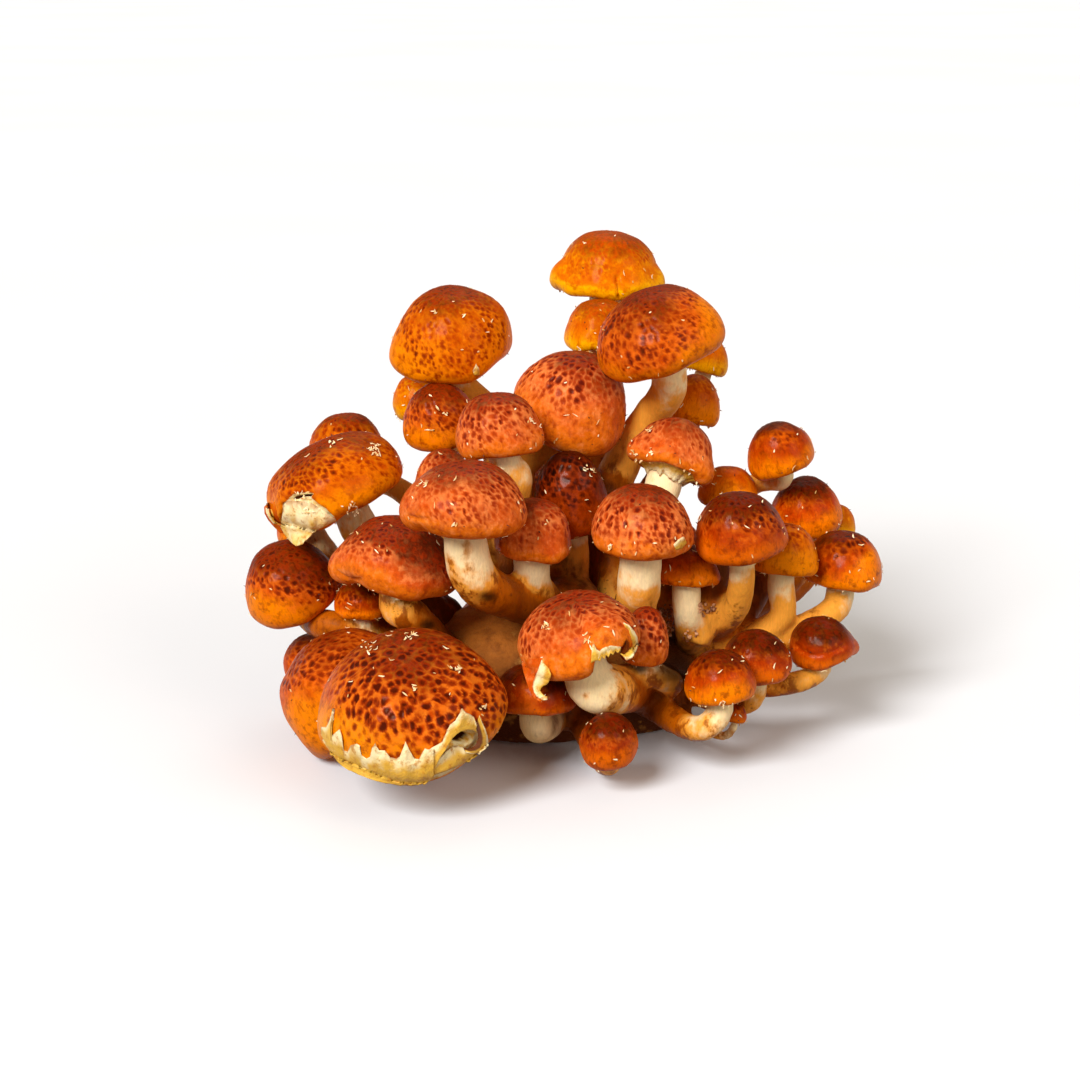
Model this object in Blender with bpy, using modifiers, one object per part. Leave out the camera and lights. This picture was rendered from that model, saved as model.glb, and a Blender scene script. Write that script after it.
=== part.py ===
"""A clump of chestnut mushrooms, cut off flat under its fused base and standing on the cut.

Metres, +Z up. The origin is the middle of the cut face. Each cap is one solid. The stems grow
from the base in bunches, and each bunch, with the foot that it forks from, is one solid.

Caps are placed as a viewer sees them: a picture plane leans back under the viewer's eye, and
a place on it is (across, up, depth) in millimetres, depth being how far behind the plane.
"""

import math
from typing import NamedTuple

import bmesh
import bpy
from mathutils import Matrix, Vector

MM = 0.001
GAP = 0.3 * MM
COLLECTION_NAME = "chestnut_mushroom_clump"

# The viewer: how far away, how high, and the point of the clump in the middle of the view
VIEW_DISTANCE = 600 * MM
VIEW_DIP = math.radians(15)
VIEW_AIM = Vector((-3, 0, 51)) * MM

# The fused base: its widest ring is a little above the cut
BASE_HALF_WIDTH = 39 * MM
BASE_HALF_DEPTH = 25 * MM
BASE_HEIGHT = 38 * MM
BASE_BELLY = 12 * MM
BASE_CUT_SHARE = 0.84
BASE_SEGMENTS = 20
BASE_RINGS = 4
BASE_LOBES = ((3, 0.05, 0.6), (5, 0.04, 2.0))

# A cap's turned profile, as (share of radius, share of height above the widest ring)
CAP_PROFILE = [(0.0, 0.80), (0.48, 0.72), (0.84, 0.46), (1.0, 0.02), (0.90, -0.19), (0.0, -0.08)]
CAP_MIDDLE = 0.31
CAP_UNDERSIDE = -0.13
LIFT_SPREAD = math.radians(38)

# Stems: the pieces along one, the straight neck under the cap, and how it leaves the bunch's foot
STEM_PIECES = 4
STEM_PIECES_THROUGH = 2
THIN_STEM = 7.8
NECK_SHARE = 0.28
ARCH_REACH = 0.36
FOOT_FLARE = 1.15
FOOT_SPREAD = 0.40
FOOT_SINK = 0.30
FLOOR_SHARE = 0.72


class Mushroom(NamedTuple):
    """One mushroom, in mm and degrees: its cap's middle as seen, its cap's size and lean, and its stem's thickness.

    The stem passes through the places in via. The cap's rim is raised at lift's compass point by lift's height.
    """

    name: str
    across: float
    up: float
    depth: float
    wide: float
    tall: float
    lean_right: float
    lean_near: float
    stem: float
    tint: str
    via: tuple = ()
    lift: tuple = ()


class Bunch(NamedTuple):
    """A bunch of stems: where its foot sits on the base, by compass and height in degrees, and the foot's radius in mm."""

    name: str
    compass: float
    height: float
    foot: float
    mushrooms: tuple


BUNCHES = (
    Bunch("stems_top", 60, 68, 8.5, (
        Mushroom("cap_top_peak", 18.5, 75, 25, 31, 16.5, 4, 15, 9, "amber"),
        Mushroom("cap_top_under_peak", 16, 59, 11.5, 20, 13, -5, 15, 7, "amber"),
        Mushroom("cap_top_large", 31, 58.5, -14, 34, 19, -20, 20, 9.5, "chestnut", ((19, 14, 8), (28, 31, 4))),
        Mushroom("cap_top_small", 45.5, 50, 30, 12.5, 10, 15, 5, 5, "amber"),
        Mushroom("cap_top_low", 42, 38.5, 16, 14.5, 13, 10, 10, 6, "amber"),
    )),
    Bunch("stems_upper_left", 140, 60, 8.5, (
        Mushroom("cap_upper_left_large", -24.5, 58, 4, 33, 20, -3, 32, 8.5, "amber", ((-12, 30, 12),)),
        Mushroom("cap_upper_left_behind", -33.5, 39.5, 28, 14.5, 11.5, -20, 10, 5.5, "amber", ((-23, 18, 26),)),
        Mushroom("cap_upper_left_small", -27.5, 35, -2, 20, 15, -15, 28, 6.5, "chestnut"),
        Mushroom("cap_upper_left_hidden", -26, 18.5, -9, 15.5, 12.5, 0, 15, 5.5, "chestnut"),
        Mushroom("cap_left_behind", -52.5, 27.5, 20, 20.5, 14.5, -5, 10, 6.5, "amber", ((-36, 13, 14),)),
    )),
    Bunch("stems_middle", -75, 62, 9.5, (
        Mushroom("cap_middle_large", 10, 40, -5, 31, 20, 22, 38, 8, "brick", ((-4, 8, 0), (-5, 20, -1))),
        Mushroom("cap_middle_left", -11.5, 32.5, -24, 22.5, 14.5, -8, 20, 8, "brick", ((-7, 6, -12), (-6, 17, -19))),
        Mushroom("cap_middle_bud", 8, 14, -13, 20.5, 21, -5, 20, 8, "dark"),
        Mushroom("cap_middle_front", -20.5, 12.5, -42, 31.5, 16.5, 0, 17, 11, "brick", lift=(-125, 2.5)),
        Mushroom("cap_middle_low", -1.5, 4, -27, 20, 14, 5, 20, 9.5, "brick"),
    )),
    Bunch("stems_left", 172, 35, 8.5, (
        Mushroom("cap_left_torn", -56.5, 18.5, -8, 37, 16.5, -25, 20, 10, "amber", lift=(-140, 3)),
        Mushroom("cap_left_under", -64, 6, 12, 18, 9.5, -30, 5, 7, "amber"),
        Mushroom("cap_left_outer", -68.5, -9.5, -2, 26, 17.5, -20, 35, 7.5, "amber", ((-55, -23.5, -5),)),
        Mushroom("cap_front_left_small", -48, -15, -8, 15, 9.5, 0, 18, 7, "brick"),
        Mushroom("cap_front_left_sliver", -51, -21.5, 11, 10.5, 8, 0, 15, 4.5, "brick"),
        Mushroom("cap_front_left_outer", -62.5, -32, 13, 18, 13, -50, 10, 6.5, "amber"),
    )),
    Bunch("stems_front_left", -140, 15, 8.5, (
        Mushroom("cap_front_left_high", -38, -3, -24, 32, 16.5, 8, 18, 8.5, "brick", ((-35, -20, -21),), (-115, 3)),
        Mushroom("cap_front_left_tilted", -57, -38.5, -19.5, 36, 22, -55, 12, 9, "amber"),
        Mushroom("cap_front_left_largest", -35.5, -40.5, -56, 46, 24, -5, 36, 11, "chestnut", lift=(-35, 3)),
    )),
    Bunch("stems_front", -85, 2, 7, (
        Mushroom("cap_front_flat", -1.5, -39.5, -32, 21.5, 11, 0, 12, 8, "chestnut", ((2, -50, -24),)),
        Mushroom("cap_front_lowest", 18.5, -53, -46, 15, 11, -5, 42, 6, "chestnut"),
    )),
    Bunch("stems_right", -30, 45, 8.5, (
        Mushroom("cap_right_lifted", 37, 25.5, -12, 23, 14, 20, -5, 9.5, "chestnut"),
        Mushroom("cap_right_front", 28, 6.5, -34, 26, 15.5, 3, 20, 10.5, "brick"),
    )),
    Bunch("stems_far_right", 8, 12, 9.5, (
        Mushroom("cap_right_under", 39.5, -6.5, -16, 17.5, 10, 0, 5, 7.5, "dark"),
        Mushroom("cap_right_round", 53.5, 5, -28, 23.5, 15, -8, 25, 7, "chestnut"),
        Mushroom("cap_far_right_low", 66, -1.5, -10, 18.5, 12.5, 5, 15, 7, "chestnut", ((64, -23, -4),)),
        Mushroom("cap_far_right_high", 64, 25.5, 2, 18, 13, -20, 15, 5.5, "amber", ((50, 3, 22), (57, 15, 16))),
        Mushroom("cap_far_right_behind", 51, 15, 6, 16.5, 10, 0, 10, 5.5, "chestnut"),
        Mushroom("cap_far_right_ragged", 71.5, 10, 14, 20, 14, -10, 27, 6.5, "chestnut"),
        Mushroom("cap_far_right_hidden", 79, 6, 28, 13.5, 9, 10, 5, 5, "amber"),
        Mushroom("cap_far_right_outer", 82, -4.5, 0, 21, 14, 3, 15, 7.5, "amber", ((62, -28, 0), (78, -20, -2))),
    )),
    Bunch("stems_front_right", -45, 5, 8, (
        Mushroom("cap_front_torn", 10, -23.5, -45, 30.5, 16.5, -10, 20, 12, "brick", ((17.5, -40.5, -38),), (-45, 4)),
        Mushroom("cap_front_behind_torn", 28.5, -25, -30, 13, 14, 5, 20, 6.5, "brick", ((36, -39, -23),)),
        Mushroom("cap_front_right_outer", 75.5, -26.5, -14, 17.5, 11, -15, 24, 5.5, "chestnut", ((64, -39.5, -14),)),
        Mushroom("cap_front_right_middle", 58, -30.5, -24, 18, 12, -8, 20, 5.5, "chestnut"),
        Mushroom("cap_front_right_near", 48.5, -36, -38, 18, 12, -5, 18, 6.5, "chestnut", ((37, -49, -24), (44, -51, -35))),
        Mushroom("cap_front_right_pin", 53, -46.5, -26, 5.5, 4.5, 5, 15, 2.6, "chestnut"),
    )),
    Bunch("stems_back", 95, 30, 9, (
        Mushroom("cap_back_left", -24, 6, 44, 27, 17, -12, -15, 8, "amber"),
        Mushroom("cap_back_middle", 5, 12, 52, 31, 19, 0, -20, 9, "amber"),
        Mushroom("cap_back_right", 34, -1, 44, 25, 16, 14, -18, 8, "chestnut"),
        Mushroom("cap_back_low_left", -14, -22, 50, 22, 15, -12, -35, 7, "chestnut"),
        Mushroom("cap_back_low_right", 15, -22, 54, 24, 15, 8, -35, 7.5, "amber"),
        Mushroom("cap_back_corner", 41, -24, 40, 18, 13, 25, -15, 6, "chestnut"),
    )),
)

# Plain colours of the solids: red, green, blue and roughness
FINISHES = {
    "amber": (0.62, 0.24, 0.02, 0.45),
    "chestnut": (0.44, 0.11, 0.02, 0.42),
    "brick": (0.52, 0.13, 0.05, 0.42),
    "dark": (0.20, 0.04, 0.015, 0.38),
    "stem": (0.72, 0.56, 0.34, 0.60),
    "base": (0.36, 0.18, 0.05, 0.60),
}


def clear_scene():
    for obj in list(bpy.data.objects):
        bpy.data.objects.remove(obj, do_unlink=True)


def collection_for_parts():
    parts = bpy.data.collections.new(COLLECTION_NAME)
    bpy.context.scene.collection.children.link(parts)
    return parts


def material_for(finish):
    """The plain material of a finish, made once."""
    found = bpy.data.materials.get(finish)
    if found:
        return found
    red, green, blue, roughness = FINISHES[finish]
    made = bpy.data.materials.new(finish)
    made.use_nodes = True
    shader = made.node_tree.nodes["Principled BSDF"]
    shader.inputs["Base Color"].default_value = (red, green, blue, 1.0)
    shader.inputs["Roughness"].default_value = roughness
    shader.inputs["Metallic"].default_value = 0.0
    return made


def view_rotation():
    """Turns (across, away, up) as seen into the clump's own axes."""
    return Matrix.Rotation(-VIEW_DIP, 4, "X")


def as_seen(across, up, depth):
    """The point that the viewer sees at that place, in metres. Further points spread wider behind the plane."""
    away = depth * MM
    spread = (VIEW_DISTANCE + away) / VIEW_DISTANCE
    seen = Vector((across * MM * spread, away, up * MM * spread))
    return VIEW_AIM + view_rotation() @ seen


def cap_matrix(mushroom):
    """Places a cap whose own +Z is its axis and whose middle is at its origin."""
    lean = Matrix.Rotation(math.radians(mushroom.lean_right), 4, "Y")
    nod = Matrix.Rotation(math.radians(mushroom.lean_near), 4, "X")
    centre = as_seen(mushroom.across, mushroom.up, mushroom.depth)
    return Matrix.Translation(centre) @ view_rotation() @ lean @ nod


def mesh_object(name, mesh, finish, parts):
    obj = bpy.data.objects.new(name, mesh)
    obj.data.materials.append(material_for(finish))
    parts.objects.link(obj)
    return obj


def profile_mesh(name, points):
    """An edge chain in the XZ plane, to be turned about Z."""
    mesh = bpy.data.meshes.new(name)
    bm = bmesh.new()
    corners = [bm.verts.new((x, 0, z)) for x, z in points]
    for first, second in zip(corners, corners[1:]):
        bm.edges.new((first, second))
    bm.to_mesh(mesh)
    bm.free()
    return mesh


def evaluated_mesh(obj):
    """The object's mesh with its modifiers applied."""
    bpy.context.view_layer.update()
    return bpy.data.meshes.new_from_object(obj.evaluated_get(bpy.context.evaluated_depsgraph_get()))


def set_evaluated_mesh(obj):
    """Applies the object's modifiers."""
    mesh = evaluated_mesh(obj)
    obj.modifiers.clear()
    obj.data = mesh


def add_turning(obj, segments):
    """Turns the object's profile into a closed solid."""
    screw = obj.modifiers.new("turned", "SCREW")
    screw.axis = "Z"
    screw.steps = segments
    screw.render_steps = segments
    screw.use_merge_vertices = True
    screw.merge_threshold = 0.00001
    screw.use_smooth_shade = True


def cap_segments(wide):
    """Larger caps get more sides."""
    if wide > 28:
        return 12
    if wide > 16:
        return 10
    return 8


def raise_rim(mesh, radius, lift):
    """Raises the rim in a soft wave about one compass point, as where a cap is waved or torn."""
    compass, height = lift
    for corner in mesh.vertices:
        around = math.atan2(corner.co.y, corner.co.x)
        away = math.remainder(around - math.radians(compass), 2 * math.pi)
        share = math.hypot(corner.co.x, corner.co.y) / radius
        corner.co.z += height * MM * math.exp(-((away / LIFT_SPREAD) ** 2)) * share**3


def make_cap(mushroom, parts):
    radius = mushroom.wide / 2 * MM
    tall = mushroom.tall * MM
    points = [(share * radius, (rise - CAP_MIDDLE) * tall) for share, rise in CAP_PROFILE]
    cap = mesh_object(mushroom.name, profile_mesh(mushroom.name, points), mushroom.tint, parts)
    add_turning(cap, cap_segments(mushroom.wide))
    set_evaluated_mesh(cap)
    if mushroom.lift:
        raise_rim(cap.data, radius, mushroom.lift)
    cap.matrix_world = cap_matrix(mushroom)


def base_point(compass, height):
    """A point on the base's dome, and the way out of the dome there."""
    around = math.radians(compass)
    rise = math.radians(height)
    dome = BASE_HEIGHT - BASE_BELLY
    point = Vector((
        BASE_HALF_WIDTH * math.cos(around) * math.cos(rise),
        BASE_HALF_DEPTH * math.sin(around) * math.cos(rise),
        dome * math.sin(rise),
    ))
    out = Vector((point.x / BASE_HALF_WIDTH**2, point.y / BASE_HALF_DEPTH**2, point.z / dome**2))
    return point + Vector((0, 0, BASE_BELLY)), out.normalized()


def base_profile():
    """The base's outline for a unit radius: from its top over the belly and down to the cut."""
    points = []
    for ring in range(BASE_RINGS + 1):
        rise = math.radians(90 * (1 - ring / BASE_RINGS))
        points.append((math.cos(rise), BASE_BELLY + (BASE_HEIGHT - BASE_BELLY) * math.sin(rise)))
    points[0] = (0.0, BASE_HEIGHT)
    points.append((BASE_CUT_SHARE, 0.0))
    points.append((0.0, 0.0))
    return points


def make_base(name, parts, swell):
    """The lobed base, or a copy swollen by that much all round, which cuts the bunches' feet."""
    base = mesh_object(name, profile_mesh(name, base_profile()), "base", parts)
    add_turning(base, BASE_SEGMENTS)
    set_evaluated_mesh(base)
    for corner in base.data.vertices:
        around = math.atan2(corner.co.y, corner.co.x)
        lobes = 1 + sum(depth * math.cos(count * around + turn) for count, depth, turn in BASE_LOBES)
        corner.co.x *= BASE_HALF_WIDTH * lobes + swell
        corner.co.y *= BASE_HALF_DEPTH * lobes + swell
        corner.co.z *= 1 + swell / BASE_HEIGHT
    return base


def smooth_path(points, pieces):
    """Points on a smooth curve through the given ones, with that many pieces in each stretch."""
    ends = [points[0] * 2 - points[1], *points, points[-1] * 2 - points[-2]]
    found = []
    for first in range(len(points) - 1):
        before, start, end, after = ends[first : first + 4]
        for step in range(pieces):
            t = step / pieces
            found.append(0.5 * (
                2 * start
                + (end - before) * t
                + (2 * before - 5 * start + 4 * end - after) * t**2
                + (3 * start - before - 3 * end + after) * t**3
            ))
    found.append(points[-1])
    return found


def arched_path(start, leave, end, arrive, pieces):
    """Points on one arch from start, setting off along leave, to end, coming in along arrive."""
    reach = (end - start).length * ARCH_REACH
    first = start + leave * reach
    second = end - arrive * reach
    found = []
    for step in range(pieces + 1):
        t = step / pieces
        found.append(
            start * (1 - t) ** 3 + first * 3 * t * (1 - t) ** 2 + second * 3 * t**2 * (1 - t) + end * t**3
        )
    return found


def stem_points(mushroom, bunch):
    """A stem's centre line: from the bunch's foot, through any points given, to its cap's underside."""
    place = cap_matrix(mushroom)
    axis = (place.to_3x3() @ Vector((0, 0, 1))).normalized()
    top = place @ Vector((0, 0, (CAP_UNDERSIDE - CAP_MIDDLE) * mushroom.tall * MM - GAP))
    neck = top - axis * (NECK_SHARE * mushroom.wide * MM)
    foot, out = base_point(bunch.compass, bunch.height)
    through = [as_seen(*place_on_way) for place_on_way in mushroom.via]
    towards = (through + [neck])[0] - foot
    sideways = (towards - out * towards.dot(out)).normalized()
    root = foot + (sideways * FOOT_SPREAD - out * FOOT_SINK) * (bunch.foot * MM)
    if through:
        way = smooth_path([root, *through, neck], STEM_PIECES_THROUGH)
    else:
        leave = (out + towards.normalized()).normalized()
        way = arched_path(root, leave, neck, axis, STEM_PIECES)
    lowest = mushroom.stem * FLOOR_SHARE * MM
    for point in way:
        point.z = max(point.z, lowest)
    return [*way, top]


def stem_mesh(mushroom, bunch, parts):
    """One stem as a tube with welded ends."""
    points = stem_points(mushroom, bunch)
    curve = bpy.data.curves.new(mushroom.name + "_stem", "CURVE")
    curve.dimensions = "3D"
    curve.bevel_depth = mushroom.stem / 2 * MM
    curve.bevel_resolution = 2 if mushroom.stem > THIN_STEM else 1
    curve.use_fill_caps = True
    line = curve.splines.new("POLY")
    line.points.add(len(points) - 1)
    for number, (knot, point) in enumerate(zip(line.points, points)):
        knot.co = (*point, 1.0)
        knot.radius = FOOT_FLARE + (1.0 - FOOT_FLARE) * number / (len(points) - 1)
    tube = bpy.data.objects.new(curve.name, curve)
    parts.objects.link(tube)
    mesh = evaluated_mesh(tube)
    bpy.data.objects.remove(tube, do_unlink=True)
    bm = bmesh.new()
    bm.from_mesh(mesh)
    bmesh.ops.remove_doubles(bm, verts=bm.verts, dist=0.00001)
    bm.to_mesh(mesh)
    bm.free()
    return mesh


def apply_boolean(target, tool, operation):
    """Joins the tool to the target, or cuts it out."""
    change = target.modifiers.new(operation.lower(), "BOOLEAN")
    change.operation = operation
    change.solver = "EXACT"
    change.object = tool
    set_evaluated_mesh(target)


def make_bunch(bunch, base_cutter, parts):
    """A bunch's foot and stems as one solid, cut to sit on the base."""
    foot, _ = base_point(bunch.compass, bunch.height)
    knob = bpy.data.meshes.new(bunch.name)
    bm = bmesh.new()
    bmesh.ops.create_icosphere(bm, subdivisions=2, radius=bunch.foot * MM)
    bm.transform(Matrix.Translation(foot))
    bm.to_mesh(knob)
    bm.free()
    solid = mesh_object(bunch.name, knob, "stem", parts)
    for mushroom in bunch.mushrooms:
        stem = mesh_object(mushroom.name + "_stem", stem_mesh(mushroom, bunch, parts), "stem", parts)
        apply_boolean(solid, stem, "UNION")
        bpy.data.objects.remove(stem, do_unlink=True)
    apply_boolean(solid, base_cutter, "DIFFERENCE")
    return solid


def main():
    clear_scene()
    parts = collection_for_parts()
    make_base("base", parts, 0.0)
    cutter = make_base("base_cutter", parts, GAP)
    cutter.hide_render = True
    cutter.display_type = "WIRE"
    for bunch in BUNCHES:
        make_bunch(bunch, cutter, parts)
        for mushroom in bunch.mushrooms:
            make_cap(mushroom, parts)
    bpy.data.objects.remove(cutter, do_unlink=True)


main()
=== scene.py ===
import itertools
import math
from typing import NamedTuple

import bmesh
import bpy
import numpy as np
from mathutils import Matrix, Vector
from mathutils.bvhtree import BVHTree
from mathutils.kdtree import KDTree


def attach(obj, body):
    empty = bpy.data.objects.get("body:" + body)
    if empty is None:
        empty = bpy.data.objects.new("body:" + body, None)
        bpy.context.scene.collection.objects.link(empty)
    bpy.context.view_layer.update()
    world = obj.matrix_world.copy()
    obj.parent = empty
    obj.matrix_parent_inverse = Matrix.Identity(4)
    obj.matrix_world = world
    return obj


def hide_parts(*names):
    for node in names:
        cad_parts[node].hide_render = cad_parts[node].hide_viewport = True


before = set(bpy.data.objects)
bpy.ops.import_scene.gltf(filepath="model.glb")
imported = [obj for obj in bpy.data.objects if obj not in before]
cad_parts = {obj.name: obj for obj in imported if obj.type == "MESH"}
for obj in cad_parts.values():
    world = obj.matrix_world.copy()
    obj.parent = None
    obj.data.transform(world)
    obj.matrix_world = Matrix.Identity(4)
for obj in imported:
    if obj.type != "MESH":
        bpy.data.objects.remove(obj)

MM = 0.001
BODY = "root"

# The viewer, and the place of the clump in the picture, as in the part's source
VIEW_DISTANCE = 600 * MM
VIEW_DIP = math.radians(15)
VIEW_AIM = Vector((-3, 0, 51)) * MM
VIEW_WIDTH = 291.6 * MM

# The fused base
BASE_HALF_WIDTH = 39
BASE_HALF_DEPTH = 25
BASE_HEIGHT = 38
BASE_BELLY = 12
BASE_CUT_SHARE = 0.84
BASE_LOBES = ((3, 0.05, 0.6), (5, 0.04, 2.0))

# How the stems run, as in the part's source
CAP_MIDDLE = 0.31
CAP_UNDERSIDE = -0.13
GAP = 0.3
NECK_SHARE = 0.28
ARCH_REACH = 0.36
FOOT_FLARE = 1.15
FOOT_SPREAD = 0.40
FOOT_SINK = 0.30
FLOOR_SHARE = 0.72
LIFT_SPREAD = math.radians(38)

# How much further down from its cap a stem stays cream, and then tan, in mm
CLEAN_STEMS = {
    "cap_front_torn": (7, 0), "cap_right_front": (5, 8), "cap_middle_front": (4, 0),
    "cap_right_lifted": (6, 4), "cap_front_flat": (10, 0), "cap_right_under": (6, 10),
    "cap_front_behind_torn": (2, 0), "cap_top_large": (2, 30), "cap_front_right_near": (3, 0),
    "cap_left_torn": (4, 6), "cap_far_right_outer": (2, 8), "cap_middle_large": (0, 34),
    "cap_upper_left_large": (0, 34), "cap_top_peak": (0, 34), "cap_left_behind": (0, 24),
    "cap_upper_left_small": (0, 26), "cap_middle_left": (2, 22), "cap_middle_low": (4, 4),
    "cap_top_under_peak": (0, 30), "cap_top_low": (0, 24), "cap_middle_bud": (0, 14),
    "cap_upper_left_hidden": (0, 20), "cap_far_right_high": (1, 10), "cap_right_round": (1, 14),
    "cap_far_right_low": (1, 14), "cap_front_right_outer": (0, 6),
}

# Walls of grown-together stem, seen through the gaps between stems: the bunch, the places that
# the wall passes (across, up and away, in mm, as seen), and its thickness in mm
WALLS = (
    ("stems_top", ((19, 13, 7), (19.5, 0, 4), (20, -20, 1)), 9),
    ("stems_right", ((31, 0, -5), (32, -12, -5), (31, -26, -5)), 9),
    ("stems_far_right", ((48, -4, -8), (46.5, -15, -8), (42, -28, -8)), 8),
    ("stems_far_right", ((61, -8, 5), (56, -18, 4), (45, -30, 2)), 8),
)

# How far below a cap the top end of a wall counts as being, and how much further down the wall stays
# cream, and then tan, in mm
WALL_END = (12, 0, 8)

# Painted shade: stems are painted darker inside this oval round the clump's middle, where shade falls, the
# more so between these heights, in mm
PAINTED_SHADE_OVAL = (62, 46)
PAINTED_SHADE_HEIGHTS = (44, 14)

# Fineness of the meshes, in mm
SKIN_STEP = 0.56
GILL_ROWS = 9
STEM_VOXEL = 1.0
STEM_BLEND = 1.1
STEM_SIDES = 24
BASE_VOXEL = 1.2

# How high above the ground the stems' skin stays, and how far the base's skin is drawn in, in mm
STEM_LOWEST = 0.4
BASE_DRAWN_IN = 0.3

# Rows and columns of the base, before it is made into one skin
BASE_ROWS = 40
BASE_CUT_ROWS = 12
BASE_COLUMNS = 120

# The surroundings' light, from below to above, as (height of the way there, red green and blue)
SKY = (
    (-0.5, (0.22, 0.14, 0.08)), (-0.06, (0.22, 0.14, 0.08)), (-0.02, (1.0, 1.0, 1.0)),
    (0.07, (1.0, 1.0, 1.0)), (0.12, (0.42, 0.38, 0.32)), (0.3, (0.31, 0.26, 0.19)),
    (1.0, (0.31, 0.26, 0.19)),
)

# The lamps: compass point and height in degrees, strength, width in degrees, and red, green and blue
LAMPS = (
    ("key", -122, 36, 3.9, 26, (1.0, 0.97, 0.92)),
    ("fill", -42, 26, 1.0, 40, (1.0, 0.90, 0.78)),
    ("back", 80, 55, 0.3, 40, (1.0, 0.98, 0.95)),
)

# The floor's size and how far down it lies, in metres, and the camera's sensor in mm
FLOOR_SIZE = 60
FLOOR_DROP = 0.0002
SENSOR_WIDTH = 36.0

# The size of one of the picture's 1080 pixels at VIEW_AIM, in mm
PIXEL = 0.27

# The picture's middle, in pixels
PICTURE_MIDDLE = 540

# A sight line that passes within BESIDE_EDGE of a cap's front, and meets it more than UNDER_EDGE
# further back, belongs to the front edge. Both are in mm.
BESIDE_EDGE = 2.5
UNDER_EDGE = 4

# How many steps the search for that edge takes
APPROACHES = 16


class Mushroom(NamedTuple):
    """One mushroom, in mm and degrees.

    It gives its cap's middle as seen, its cap's size and lean, and its stem's thickness. The stem passes
    through the places in via. Lift is a compass point and how much the cap's rim is raised there.
    """

    name: str
    across: float
    up: float
    depth: float
    wide: float
    tall: float
    lean_right: float
    lean_near: float
    stem: float
    tint: str
    via: tuple = ()
    lift: tuple = ()


class Bunch(NamedTuple):
    """A bunch of stems: where its foot sits on the base, in degrees, and the foot's radius in mm."""

    name: str
    compass: float
    height: float
    foot: float
    mushrooms: tuple


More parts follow.
